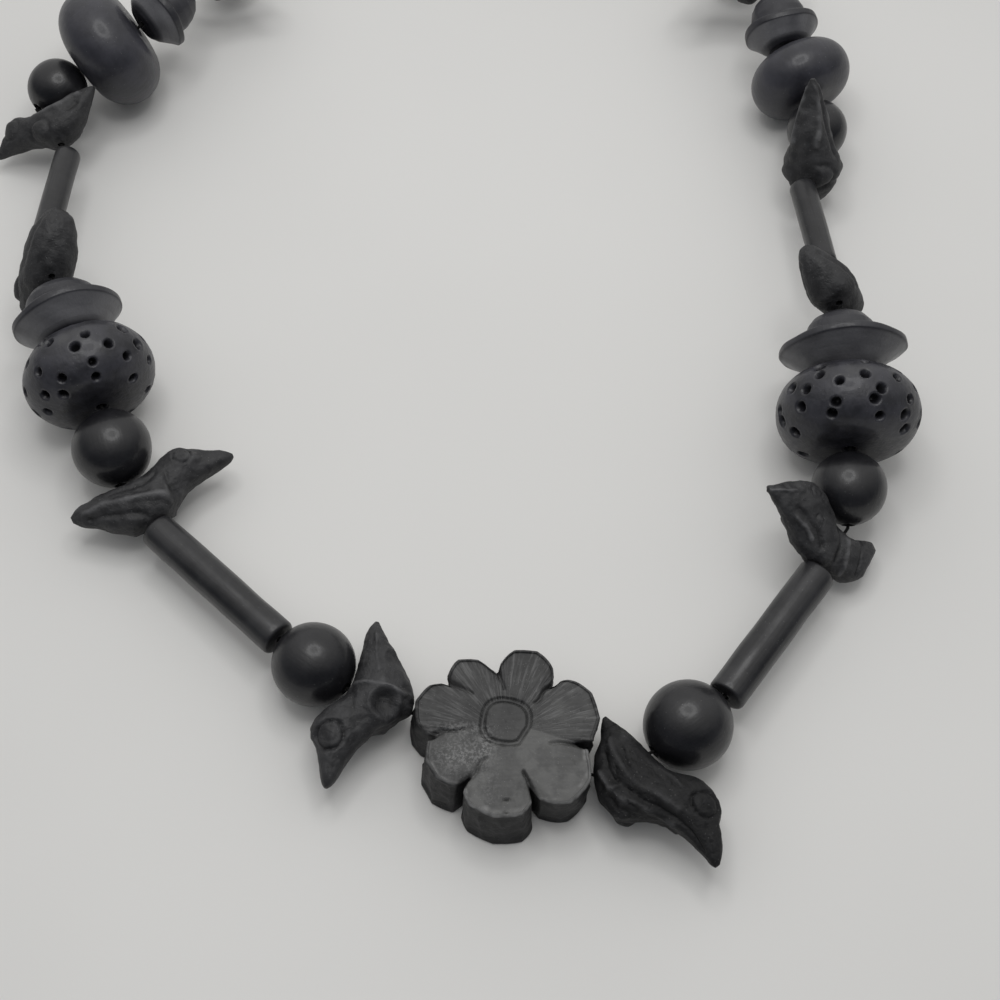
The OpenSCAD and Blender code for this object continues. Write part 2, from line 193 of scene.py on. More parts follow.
def makePiece(node, grid, place, material, closedRows=True):  # columns always close round the bead
    rows, cols = grid.shape[:2]
    points = grid.reshape(-1, 3) * mm
    faces = gridFaces(rows, cols, closedRows)
    if not closedRows:
        points = np.vstack([points, points[:cols].mean(0), points[-cols:].mean(0)])
        first, last = len(points) - 2, len(points) - 1
        faces += [[first, (c + 1) % cols, c] for c in range(cols)]
        faces += [[last, (rows - 1) * cols + c, (rows - 1) * cols + (c + 1) % cols] for c in range(cols)]
    mesh = bpy.data.meshes.new(node + "_shape")
    mesh.from_pydata(points.tolist(), [], faces)
    mesh.shade_smooth()
    mesh.materials.append(material)
    piece = bpy.data.objects.new(node + "_carved", mesh)
    piece.matrix_world = place
    bpy.context.scene.collection.objects.link(piece)
    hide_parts(node)
    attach(piece, "root")
    return piece


def addMask(piece, name, values):  # a value for each point of the grid, for the material to read
    mask = piece.data.attributes.new(name, "FLOAT", "POINT")
    padded = np.zeros(len(piece.data.vertices))
    padded[:values.size] = values.ravel()
    mask.data.foreach_set("value", padded)


def drillBore(piece, way, sharpAngle=50):  # cuts the thread's hole along X, way is in the piece's own axes
    sides, reach = 24, 20
    cutter = bpy.data.objects.new("drill", bpy.data.meshes.new("drill"))
    angle = np.linspace(0, 2 * np.pi, sides, endpoint=False)
    ring = np.stack([0 * angle, np.cos(angle), np.sin(angle)], -1) * narrowBore / 2
    ends = np.array([[-reach, 0, 0], [reach, 0, 0]])
    points = (ring[None] + ends[:, None]).reshape(-1, 3) * mm
    faces = gridFaces(2, sides, False) + [list(range(sides - 1, -1, -1)), list(range(sides, 2 * sides))]
    cutter.data.from_pydata(points.tolist(), [], faces)
    cutter.matrix_world = piece.matrix_world @ way
    bpy.context.scene.collection.objects.link(cutter)
    drilling = piece.modifiers.new("bore", "BOOLEAN")
    drilling.operation = "DIFFERENCE"
    drilling.solver = "MANIFOLD"
    drilling.object = cutter
    bpy.context.view_layer.update()
    drilled = bpy.data.meshes.new_from_object(piece.evaluated_get(bpy.context.evaluated_depsgraph_get()))
    piece.modifiers.remove(drilling)
    bpy.data.objects.remove(cutter)
    drilled.shade_smooth()
    drilled.set_sharp_from_angle(angle=math.radians(sharpAngle))
    piece.data = drilled


def roundedLoop(corners, spacing):  # closed outline through corners (x, r, rounding), walked in small steps
    outline = []
    count = len(corners)
    for i, (x, r, rounding) in enumerate(corners):
        here = np.array([x, r])
        toward = [np.array(corners[(i + s) % count][:2]) - here for s in (-1, 1)]
        toward = [t / np.linalg.norm(t) for t in toward]
        half = math.acos(max(-1.0, min(1.0, float(toward[0] @ toward[1])))) / 2
        if rounding <= 0 or half > 1.55:
            outline.append(here)
            continue
        inward = toward[0] + toward[1]
        middle = here + inward / np.linalg.norm(inward) * rounding / math.sin(half)
        arms = [here + t * rounding / math.tan(half) - middle for t in toward]
        sweep = math.pi - 2 * half
        steps = max(2, int(math.ceil(rounding * sweep / spacing)))
        for k in range(steps + 1):
            t = k / steps
            arm = math.sin((1 - t) * sweep) * arms[0] + math.sin(t * sweep) * arms[1]
            outline.append(middle + arm / math.sin(sweep))
    walked = []
    for a, b in zip(outline, outline[1:] + outline[:1]):
        length = np.linalg.norm(b - a)
        if length < 1e-6:
            continue
        steps = max(1, int(math.ceil(length / spacing)))
        walked += [a + (b - a) * k / steps for k in range(steps)]
    return np.array(walked)


def latheGrid(outline, sides):  # the outline is (x, r), the thread is the axis
    angle = np.linspace(0, 2 * np.pi, sides, endpoint=False)
    x, r = outline[:, 0][:, None], outline[:, 1][:, None]
    return np.stack([x + 0 * angle, r * np.cos(angle), r * np.sin(angle)], -1)


def onOutside(grid):  # 1 on the outer surface, 0 in the bore
    return smoothStep(boreWidth / 2 + 0.05, boreWidth / 2 + 0.6, np.hypot(grid[..., 1], grid[..., 2]))


# Materials. The tools below build one burnished black clay with different finishes
def addNode(tree, kind, inputs=None, **settings):
    node = tree.nodes.new(kind)
    for key, value in settings.items():
        setattr(node, key, value)
    for key, value in (inputs or {}).items():
        if isinstance(value, bpy.types.NodeSocket):
            tree.links.new(value, node.inputs[key])
        else:
            node.inputs[key].default_value = value
    return node


def newGroup(name, inputs, outputs):
    group = bpy.data.node_groups.new(name, "ShaderNodeTree")
    for label, kind, value in inputs:
        socket = group.interface.new_socket(label, in_out="INPUT", socket_type=kind)
        if value is not None:
            socket.default_value = value
    for label in outputs:
        group.interface.new_socket(label, in_out="OUTPUT", socket_type="NodeSocketFloat")
    return group, group.nodes.new("NodeGroupInput").outputs, group.nodes.new("NodeGroupOutput").inputs


def useGroup(tree, group, inputs):
    return addNode(tree, "ShaderNodeGroup", inputs, node_tree=group)


def mathOf(tree, operation, *values, clamp=False):
    node = tree.nodes.new("ShaderNodeMath")
    node.operation = operation
    node.use_clamp = clamp
    for socket, value in zip(node.inputs, values):
        if isinstance(value, bpy.types.NodeSocket):
            tree.links.new(value, socket)
        else:
            socket.default_value = value
    return node.outputs[0]


def fitted(tree, value, low, high, toLow=0.0, toHigh=1.0, smooth=True):
    inputs = {"Value": value, "From Min": low, "From Max": high, "To Min": toLow, "To Max": toHigh}
    kind = "SMOOTHSTEP" if smooth else "LINEAR"
    return addNode(tree, "ShaderNodeMapRange", inputs, interpolation_type=kind).outputs[0]


def stretched(tree, vector, factors):
    return addNode(tree, "ShaderNodeVectorMath", {0: vector, 1: factors}, operation="MULTIPLY").outputs[0]


def inMillimetres(tree, vector):
    return stretched(tree, vector, (1000, 1000, 1000))


# Clay grain: soft mottling, sandy grain and a few bright mica specks
clayGrain, given, wanted = newGroup("clayGrain", [
    ("Vector", "NodeSocketVector", None), ("Mottle Size", "NodeSocketFloat", 4.0),
    ("Grain Size", "NodeSocketFloat", 0.35), ("Speck Share", "NodeSocketFloat", 0.06)],
    ["Mottle", "Grain", "Specks"])
place = inMillimetres(clayGrain, given["Vector"])
mottle = addNode(clayGrain, "ShaderNodeTexNoise", {"Vector": place, "Detail": 4.0, "Roughness": 0.6,
                 "Scale": mathOf(clayGrain, "DIVIDE", 1.0, given["Mottle Size"])})
grain = addNode(clayGrain, "ShaderNodeTexNoise", {"Vector": place, "Detail": 3.0, "Roughness": 0.7,
                "Scale": mathOf(clayGrain, "DIVIDE", 1.0, given["Grain Size"])})
cells = addNode(clayGrain, "ShaderNodeTexVoronoi", {"Vector": place, "Scale": 5.0})
lot = addNode(clayGrain, "ShaderNodeSeparateColor", {"Color": cells.outputs["Color"]}).outputs[0]
picked = mathOf(clayGrain, "LESS_THAN", lot, given["Speck Share"])
small = fitted(clayGrain, cells.outputs["Distance"], 0.10, 0.32, 1.0, 0.0)
clayGrain.links.new(fitted(clayGrain, mottle.outputs[0], 0.3, 0.7), wanted["Mottle"])
clayGrain.links.new(grain.outputs[0], wanted["Grain"])
clayGrain.links.new(mathOf(clayGrain, "MULTIPLY", picked, small), wanted["Specks"])

# Burnishing: the fine lengthwise strokes of the stone that polished the clay
burnishing, given, wanted = newGroup("burnishing", [
    ("Vector", "NodeSocketVector", None), ("Stroke Width", "NodeSocketFloat", 0.4),
    ("Stretch", "NodeSocketVector", (0.06, 1.0, 1.0))], ["Strokes"])
drawn = stretched(burnishing, inMillimetres(burnishing, given["Vector"]), given["Stretch"])
strokes = addNode(burnishing, "ShaderNodeTexNoise", {"Vector": drawn, "Detail": 3.0, "Roughness": 0.55,
                  "Scale": mathOf(burnishing, "DIVIDE", 1.0, given["Stroke Width"])})
burnishing.links.new(fitted(burnishing, strokes.outputs[0], 0.32, 0.68), wanted["Strokes"])

# Wear and painted light: raised places are made pale, partly handling wear and partly a painted highlight;
# cut places get a painted shade. Relief runs from -1, cut, to 1, raised
wearAndPaintedLight, given, wanted = newGroup("wearAndPaintedLight", [
    ("Relief", "NodeSocketFloat", 0.0), ("Breakup", "NodeSocketFloat", 0.5)], ["Rubbed", "Shaded"])
broken = mathOf(wearAndPaintedLight, "MULTIPLY_ADD", given["Breakup"], 0.5, 0.75)
rubbedAndHighlit = mathOf(wearAndPaintedLight, "MULTIPLY", fitted(wearAndPaintedLight, given["Relief"], 0.1, 0.9), broken)
wearAndPaintedLight.links.new(rubbedAndHighlit, wanted["Rubbed"])
wearAndPaintedLight.links.new(fitted(wearAndPaintedLight, given["Relief"], -0.1, -0.8), wanted["Shaded"])

# Tool scratches that fan out from the flower's ring
fanScratches, given, wanted = newGroup("fanScratches", [
    ("Vector", "NodeSocketVector", None), ("Density", "NodeSocketFloat", 24.0)], ["Scratches"])
place = inMillimetres(fanScratches, given["Vector"])
x, y, _ = addNode(fanScratches, "ShaderNodeSeparateXYZ", {"Vector": place}).outputs
turn = mathOf(fanScratches, "MULTIPLY", mathOf(fanScratches, "ARCTAN2", y, x), given["Density"])
squares = [mathOf(fanScratches, "POWER", side, 2.0) for side in (x, y)]
reach = mathOf(fanScratches, "SQRT", mathOf(fanScratches, "ADD", *squares))
reach = mathOf(fanScratches, "MULTIPLY", reach, 0.22)
fan = addNode(fanScratches, "ShaderNodeCombineXYZ", {"X": turn, "Y": reach}).outputs[0]
lines = addNode(fanScratches, "ShaderNodeTexNoise", {"Vector": fan, "Scale": 1.0, "Detail": 3.0,
                "Roughness": 0.6})
fanScratches.links.new(fitted(fanScratches, lines.outputs[0], 0.42, 0.68), wanted["Scratches"])


def mixColours(tree, factor, a, b):
    node = addNode(tree, "ShaderNodeMix", data_type="RGBA")
    for socket, value in ((node.inputs[0], factor), (node.inputs[6], a), (node.inputs[7], b)):
        if isinstance(value, bpy.types.NodeSocket):
            tree.links.new(value, socket)
        else:
            socket.default_value = value
    return node.outputs[2]


def grey(level, blue=0.0):
    return (level, level, level * (1 + blue), 1.0)


def clayMaterial(name, look):
    material = bpy.data.materials.new(name)
    material.use_nodes = True
    tree = material.node_tree
    shader = tree.nodes["Principled BSDF"]
    vector = addNode(tree, "ShaderNodeTexCoord").outputs["Object"]
    grains = useGroup(tree, clayGrain, {"Vector": vector, "Mottle Size": look["mottle"],
                      "Grain Size": look["grain"], "Speck Share": look["specks"]})
    relief = addNode(tree, "ShaderNodeAttribute", attribute_name="relief").outputs["Fac"]
    wearAndLight = useGroup(tree, wearAndPaintedLight, {"Relief": relief, "Breakup": grains.outputs["Grain"]})
    strokes = useGroup(tree, burnishing, {"Vector": vector, "Stroke Width": look["stroke"],
                       "Stretch": look["stretch"]})

    colour = mixColours(tree, grains.outputs["Mottle"], look["dark"], look["light"])
    # raised places turn paler, partly wear and partly a painted highlight; cut places turn darker, a painted
    # shade
    rubbedAndHighlit = mathOf(tree, "MULTIPLY", wearAndLight.outputs["Rubbed"], look["rub"], clamp=True)
    colour = mixColours(tree, rubbedAndHighlit, colour, look["wornAndHighlit"])
    shaded = mathOf(tree, "MULTIPLY", wearAndLight.outputs["Shaded"], look["shade"])
    colour = mixColours(tree, shaded, colour, look["deep"])
    glints = mathOf(tree, "MULTIPLY", grains.outputs["Specks"], look["glint"], clamp=True)
    height = mathOf(tree, "ADD", mathOf(tree, "MULTIPLY", grains.outputs["Grain"], look["grainDepth"]),
                    mathOf(tree, "MULTIPLY", strokes.outputs["Strokes"], look["strokeDepth"]))
    height = mathOf(tree, "ADD", height,
                    mathOf(tree, "MULTIPLY", grains.outputs["Mottle"], look["mottleDepth"]))

    if "top" in look:  # the flower's sanded face
        top = addNode(tree, "ShaderNodeAttribute", attribute_name="topFace").outputs["Fac"]
        patch = addNode(tree, "ShaderNodeAttribute", attribute_name="dusted").outputs["Fac"]
        scratches = useGroup(tree, fanScratches, {"Vector": vector})
        share = addNode(tree, "ShaderNodeAttribute", attribute_name="scratched").outputs["Fac"]
        scratched = mathOf(tree, "MULTIPLY", scratches.outputs["Scratches"], share)
        blotches = fitted(tree, grains.outputs["Mottle"], 0.0, 1.0, *look["blotches"])
        colour = mixColours(tree, mathOf(tree, "MULTIPLY", top, blotches, clamp=True), colour, look["top"])
        pale = mathOf(tree, "MULTIPLY", scratched, look["scratchShare"])
        colour = mixColours(tree, pale, colour, look["scratch"])
        dusted = mathOf(tree, "MULTIPLY", patch, fitted(tree, grains.outputs["Grain"], 0.45, 0.6))
        colour = mixColours(tree, mathOf(tree, "MULTIPLY", dusted, look["dustShare"]), colour, look["dust"])
        height = mathOf(tree, "SUBTRACT", height, mathOf(tree, "MULTIPLY", scratched, look["scratchDepth"]))
        glints = mathOf(tree, "MAXIMUM", glints, mathOf(tree, "MULTIPLY", grains.outputs["Specks"], patch))
    colour = mixColours(tree, glints, colour, look["mica"])
    tree.links.new(colour, shader.inputs["Base Color"])

    sheen = mathOf(tree, "ADD", mathOf(tree, "MULTIPLY", grains.outputs["Mottle"], 0.6),
                   mathOf(tree, "MULTIPLY", strokes.outputs["Strokes"], 0.4))
    low, high = look["roughness"]
    tree.links.new(fitted(tree, sheen, 0.1, 0.9, low, high, smooth=False), shader.inputs["Roughness"])
    shader.inputs["Specular IOR Level"].default_value = look["specular"]
    shader.inputs["Coat Weight"].default_value = look["coat"]
    shader.inputs["Coat Roughness"].default_value = look["coatRoughness"]
    bump = addNode(tree, "ShaderNodeBump", {"Height": height, "Strength": 1.0, "Distance": mm})
    tree.links.new(bump.outputs[0], shader.inputs["Normal"])
    return material


# What each finish of the clay changes. Sizes and depths are in millimetres, dark to worn are its greys; the
# worn grey of raised places is partly wear and partly a painted highlight, and the deep grey of cut places is
# a painted shade
plainClay = {
    "dark": grey(0.006, 0.25), "light": grey(0.015, 0.15), "wornAndHighlit": grey(0.06, 0.05), "deep": grey(0.003, 0.2),
    "mica": grey(0.3), "specks": 0.02, "glint": 0.5, "rub": 1.0, "shade": 0.6,
    "mottle": 5.0, "grain": 0.4, "stroke": 0.5, "stretch": (0.06, 1.0, 1.0),
    "grainDepth": 0.01, "strokeDepth": 0.008, "mottleDepth": 0.03,
    "roughness": (0.3, 0.42), "specular": 0.46, "coat": 0.2, "coatRoughness": 0.11,
}
tubeFinish = {"strokeDepth": 0.015, "light": grey(0.02, 0.1)}
piercedFinish = {
    "mottle": 3.0, "mottleDepth": 0.06, "grainDepth": 0.02,
    "dark": grey(0.012, 0.3), "light": grey(0.036, 0.25), "roughness": (0.36, 0.55),
}
# the hats' worn grey is the painted highlight on their hollow faces
hatFinish = {
    "dark": grey(0.014, 0.3), "light": grey(0.032, 0.2), "wornAndHighlit": grey(0.16, 0.06),
    "grainDepth": 0.02, "mottleDepth": 0.05, "roughness": (0.44, 0.6),
}
wideFinish = {"dark": grey(0.02, 0.3), "light": grey(0.042, 0.25), "roughness": (0.36, 0.5)}
carvedFinish = {
    "mottle": 2.2, "grain": 0.28, "grainDepth": 0.05, "mottleDepth": 0.12, "specks": 0.05,
    "dark": grey(0.012, 0.12), "light": grey(0.034, 0.06), "wornAndHighlit": grey(0.1, 0.04),
    "roughness": (0.5, 0.68), "coat": 0.0,
}
# a darker copy of the carved finish for bird_r1: painted shade for the way that bird lies to the light
shadedCarvedFinish = {
    "mottle": 1.8, "grain": 0.25, "grainDepth": 0.06, "mottleDepth": 0.14, "specks": 0.05,
    "dark": grey(0.003, 0.2), "light": grey(0.009, 0.1), "wornAndHighlit": grey(0.045, 0.05),
    "roughness": (0.56, 0.74), "specular": 0.36, "coat": 0.0,
}
petalFinish = {
    "mottle": 3.5, "grainDepth": 0.03, "mottleDepth": 0.08, "specks": 0.09,
    "dark": grey(0.004, 0.2), "light": grey(0.011, 0.1), "wornAndHighlit": grey(0.27),
    "roughness": (0.5, 0.66), "coat": 0.0,
    "top": grey(0.105, -0.02), "blotches": (0.5, 1.15),
    "scratch": grey(0.13), "scratchShare": 0.7, "scratchDepth": 0.05, "dust": grey(0.26), "dustShare": 0.55,
}
burnishedClay = clayMaterial("burnishedClay", plainClay)
tubeClay = clayMaterial("tubeClay", {**plainClay, **tubeFinish})
piercedClay = clayMaterial("piercedClay", {**plainClay, **piercedFinish})
hatClay = clayMaterial("hatClay", {**plainClay, **hatFinish})
wideClay = clayMaterial("wideClay", {**plainClay, **wideFinish})
carvedClay = clayMaterial("carvedClay", {**plainClay, **carvedFinish})
shadedCarvedClay = clayMaterial("shadedCarvedClay", {**plainClay, **shadedCarvedFinish})
petalClay = clayMaterial("petalClay", {**plainClay, **petalFinish})

# The thread is waxed, black and finely twisted
threadLook = {"dark": grey(0.004), "light": grey(0.01), "twist": 3.0, "roughness": 0.8, "specular": 0.2}
waxedThread = bpy.data.materials.new("waxedThread")
waxedThread.use_nodes = True
tree = waxedThread.node_tree
shader = tree.nodes["Principled BSDF"]
place = inMillimetres(tree, addNode(tree, "ShaderNodeTexCoord").outputs["Object"])
twist = addNode(tree, "ShaderNodeTexWave", {"Vector": place, "Scale": threadLook["twist"], "Distortion": 1.0},
                bands_direction="DIAGONAL")
tree.links.new(mixColours(tree, twist.outputs["Fac"], threadLook["dark"], threadLook["light"]),
               shader.inputs["Base Color"])
shader.inputs["Roughness"].default_value = threadLook["roughness"]
shader.inputs["Specular IOR Level"].default_value = threadLook["specular"]
print("materials ready")


# Round beads and tubes
roundBeads = {
    "spacing": 0.45, "sides": 64, "uneven": 0.07, "lip": 0.25,
    "diameters": {
        "ball_l1": 12, "ball_l2": 12, "ball_l3": 10.2, "ball_r1": 12.6, "ball_r2": 11.2, "ball_r3": 10.2,
        "back_ball_l1": 10.2, "back_ball_l2": 10.2, "back_ball_r1": 10.2, "back_ball_r2": 10.2,
    },
}
tubeBeads = {
    "spacing": 0.7, "sides": 56, "uneven": 0.06, "lip": 0.45,
    "sizes": {  # length, diameter
        "long_tube_l": (26.5, 5.6), "long_tube_r": (24.5, 5.6), "thin_tube_l": (19.5, 4.4),
        "thin_tube_r": (18, 4.4), "back_tube_l1": (24, 5.6), "back_tube_r1": (24, 5.6),
        "back_tube_l2": (14, 4.4), "back_tube_r2": (14, 4.4),
    },
}


def beadSeed(node):  # the same for a bead in every run
    return sum(ord(letter) * (i + 1) for i, letter in enumerate(node))


def unevenGrid(grid, depth, size, seed):  # pushes the outer surface in by up to twice the depth, never out
    normals = gridNormals(grid, True)
    push = (unevenness(grid.reshape(-1, 3), size, seed).reshape(grid.shape[:2]) - 1) * depth * onOutside(grid)
    return grid + normals * push[..., None]


def makeBall(node, diameter):
    shape = roundBeads
    radius = diameter / 2
    start = math.asin(boreWidth / 2 / radius)
    steps = int(math.pi * radius / shape["spacing"])
    walk = np.linspace(start, math.pi - start, steps)
    outer = np.stack([-radius * np.cos(walk), radius * np.sin(walk)], -1)
    lip = shape["lip"]
    inner = [(x, boreWidth / 2) for x in np.linspace(outer[-1, 0] - lip, outer[0, 0] + lip, 6)]
    outer[0, 1] += 0.1  # the bore's mouths are a little wider
    outer[-1, 1] += 0.1
    grid = latheGrid(np.vstack([outer, inner]), shape["sides"])
    grid = unevenGrid(grid, shape["uneven"], diameter * 0.8, beadSeed(node))
    makePiece(node, grid, beadPlace[node], burnishedClay)


def makeTube(node, length, diameter):
    shape = tubeBeads
    corners = [(-length / 2, narrowBore / 2, 0.1), (-length / 2, diameter / 2, shape["lip"]),
               (length / 2, diameter / 2, shape["lip"]), (length / 2, narrowBore / 2, 0.1)]
    grid = latheGrid(roundedLoop(corners, shape["spacing"]), shape["sides"])
    makePiece(node, unevenGrid(grid, shape["uneven"], 9, beadSeed(node)), beadPlace[node], tubeClay)


for node, diameter in roundBeads["diameters"].items():
    makeBall(node, diameter)
for node, (length, diameter) in tubeBeads["sizes"].items():
    makeTube(node, length, diameter)
print("balls and tubes made")


# Wide beads: two plain, two with holes punched all over
wideBeads = {
    "big_bead_l": {"diameter": 21, "length": 11.8}, "big_bead_r": {"diameter": 17.4, "length": 10},
    "spacing": 0.5, "sides": 110, "uneven": 0.12,
}
# each row of holes: place along the thread, how many, angle of the first
piercedBeads = {
    "pierced_bead_l": {"diameter": 20.2, "rows": [
        (-4.9, 8, 10), (-3.0, 11, 0), (-0.6, 11, 18), (1.8, 11, 2), (4.2, 9, 22)]},
    "pierced_bead_r": {"diameter": 21.6, "rows": [
        (-4.9, 8, 16), (-3.0, 11, 4), (-0.6, 12, 14), (1.8, 12, 0), (4.2, 9, 12)]},
    "length": 11.8, "spacing": 0.21, "sides": 290, "uneven": 0.1,
    "hole": 0.88, "depth": 2.0, "lipWidth": 0.3, "lipHeight": 0.035, "jitter": 0.75, "rubbedAndHighlit": 0.6,
}


def wideOutline(diameter, length, spacing):
    edge = length / 2 - 0.05
    corners = [(-length / 2, boreWidth / 2, 0.25), (-length / 2, diameter / 2, edge),
               (length / 2, diameter / 2, edge), (length / 2, boreWidth / 2, 0.25)]
    return roundedLoop(corners, spacing)


def makeWideBead(node):
    shape = wideBeads[node]
    outline = wideOutline(shape["diameter"], shape["length"], wideBeads["spacing"])
    grid = unevenGrid(latheGrid(outline, wideBeads["sides"]), wideBeads["uneven"], 12, beadSeed(node))
    makePiece(node, grid, beadPlace[node], wideClay)


def makePiercedBead(node):
    shape = piercedBeads[node]
    radius, half = shape["diameter"] / 2, piercedBeads["length"] / 2
    outline = wideOutline(shape["diameter"], piercedBeads["length"], piercedBeads["spacing"])
    grid = latheGrid(outline, piercedBeads["sides"])
    grid = unevenGrid(grid, piercedBeads["uneven"], 10, beadSeed(node))
    dice = np.random.default_rng(beadSeed(node))
    normals = gridNormals(grid, True)
    push = np.zeros(grid.shape[:2])
    jitter, furthest = piercedBeads["jitter"], half * 0.93
    for along, count, firstAngle in shape["rows"]:
        for k in range(count):
            x = along + dice.uniform(-1, 1) * jitter
            x = max(-furthest, min(furthest, x))
            angle = math.radians(firstAngle + 360 * k / count) + dice.uniform(-1, 1) * jitter / radius
            rim = radius - half + math.sqrt(half * half - x * x)
            centre = np.array([x, rim * math.cos(angle), rim * math.sin(angle)])
            wide = piercedBeads["hole"] * dice.uniform(0.85, 1.15)
            away = np.linalg.norm(grid - centre, axis=-1)
            lip = np.exp(-((away - wide * 1.15) / piercedBeads["lipWidth"]) ** 2)
            push -= piercedBeads["depth"] * smoothStep(wide, wide * 0.45, away)
            push += piercedBeads["lipHeight"] * lip
    push *= onOutside(grid)
    piece = makePiece(node, grid + normals * push[..., None], beadPlace[node], piercedClay)
    facing = np.arctan2(grid[..., 1], grid[..., 2])  # 0 on top of the bead
    # a pale patch on top of the bead, partly wear and partly a painted highlight
    rubbedAndHighlit = np.exp(-((grid[..., 0] - 1.5) / 2.2) ** 2 - ((facing - 0.1) / 0.45) ** 2)
    patches = unevenness(grid.reshape(-1, 3), 3, beadSeed(node), 20).reshape(grid.shape[:2])
    rubbedAndHighlit = piercedBeads["rubbedAndHighlit"] * rubbedAndHighlit * (0.7 + 0.5 * patches)
    # relief also gives a painted shade in the holes
    addMask(piece, "relief", np.where(push > 0.005, 0.1, push) + rubbedAndHighlit)


for node in ("big_bead_l", "big_bead_r"):
    makeWideBead(node)
for node in ("pierced_bead_l", "pierced_bead_r"):
    makePiercedBead(node)
print("wide beads made")


# Hat beads: a small hub, a hollow face that flares out to a thin brim, and a dome behind it
hatBeads = {
    "hat_bead_l": {"brim": 17.4, "dome": 12.4, "length": 12.0, "cap": 9.9},
    "hat_bead_r": {"brim": 19.6, "dome": 11.6, "length": 12.0, "cap": 10.1},
    "small_hat_l": {"brim": 13.0, "dome": 9.8, "length": 11.0, "cap": 10.4},
    "small_hat_r": {"brim": 13.0, "dome": 9.8, "length": 11.0, "cap": 10.4},
    "spacing": 0.3, "sides": 120, "hub": 0.375, "flare": 0.28, "hollow": 0.3, "brimThick": 1.3,
    "uneven": 0.14, "wave": 0.4, "paintedFaceLight": 0.78,
}


def makeHat(node):
    shape = hatBeads[node]
    length, dome, brim = shape["length"], shape["dome"] / 2, shape["brim"] / 2
    hub = hatBeads["hub"] * shape["dome"]
    flare = hatBeads["flare"] * length
    back = flare + hatBeads["brimThick"]
    capFoot = back + 0.7
    corners = [(0, boreWidth / 2, 0.2), (0, hub - 0.6, 0.5)]
    for t in (0.25, 0.5, 0.75):  # the face is a little hollow
        corners.append((flare * t + hatBeads["hollow"] * math.sin(math.pi * t), hub + (brim - hub) * t, 0.6))
    corners += [(flare, brim, 0.35), (back - 0.1, brim - 0.05, 0.5), (capFoot, dome, 0.3)]
    for lift in (14, 32, 50, 67):  # the round cap
        rise = math.sin(math.radians(lift)) * (shape["cap"] - capFoot)
        corners.append((capFoot + rise, dome * math.cos(math.radians(lift)) ** 0.75, 0.8))
    corners += [(shape["cap"], 0.36 * dome, 0.5), (shape["cap"], boreWidth / 2, 0.1)]
    outline = roundedLoop(corners, hatBeads["spacing"])
    outline[:, 0] -= length / 2
    grid = unevenGrid(latheGrid(outline, hatBeads["sides"]), hatBeads["uneven"], 6, beadSeed(node))
    radius = np.hypot(grid[..., 1], grid[..., 2])
    around = np.arctan2(grid[..., 2], grid[..., 1])
    grid[..., 0] += hatBeads["wave"] * smoothStep(dome, brim, radius) * (1 + np.sin(3 * around + brim)) / 2
    piece = makePiece(node, grid, beadPlace[node], hatClay)
    face = smoothStep(flare - length / 2 + 0.05, flare - length / 2 - 0.3, outline[:, 0])
    face *= smoothStep(hub - 0.4, hub + 0.8, outline[:, 1])
    patches = unevenness(grid.reshape(-1, 3), 4, beadSeed(node), 20).reshape(grid.shape[:2])
    # the hollow face is painted paler with the worn grey: a painted highlight where the face catches the
    # light
    addMask(piece, "relief", hatBeads["paintedFaceLight"] * face[:, None] * (0.85 + 0.25 * patches))


for node in ("hat_bead_l", "hat_bead_r", "small_hat_l", "small_hat_r"):
    makeHat(node)
print("hat beads made")


# The clasp: one plain barrel with two turned lines, whose ends take the thread
claspShape = {
    "diameter": 6.4, "rounding": 1.6, "stop": 3.0, "lineWidth": 0.35, "lineDepth": 0.2,
    "spacing": 0.3, "sides": 56,
}


def makeClasp():
    half, radius, stop = claspLength / 2, claspShape["diameter"] / 2, claspShape["stop"]
    bore, rounding = boreWidth / 2, claspShape["rounding"]
    corners = [(stop - half, bore, 0), (-half, bore, 0.2), (-half, radius, rounding),
               (half, radius, rounding), (half, bore, 0.2), (half - stop, bore, 0)]
    outline = roundedLoop(corners, claspShape["spacing"])
    x, r = outline[:, 0], outline[:, 1]
    outline = outline[(np.abs(x) > half - stop - 0.01) | (r > bore + 0.01)]  # the middle stays solid
    onLine = np.exp(-((np.abs(outline[:, 0]) - half * 0.5) / claspShape["lineWidth"]) ** 2)
    outline[:, 1] -= claspShape["lineDepth"] * onLine * (outline[:, 1] > radius * 0.9)
    grid = latheGrid(outline, claspShape["sides"])
    makePiece("clasp", grid, beadPlace["clasp"], burnishedClay, closedRows=False)


makeClasp()


# The flower: seven petals round an engraved ring
flowerShape = {
    "columns": 104, "wallRows": 14, "faceRows": 34, "ringRows": 40,
    "edge": 0.6, "footEdge": 0.4, "crown": 0.25, "bulge": 0.25, "notchHalf": 0.5,
    "facet": 3.1, "flats": 3.4, "flatDepth": 0.2, "lineWidth": 0.26, "lineDepth": 0.5, "valley": 0.36,
    "ringAt": (0.0, 1.75), "ringSize": 3.15, "ringWidth": 0.66, "ringDepth": 0.16, "innerSize": 4.6,
    "unevenDepth": 0.16, "roughDepth": 0.045, "chipDepth": 0.05,
}
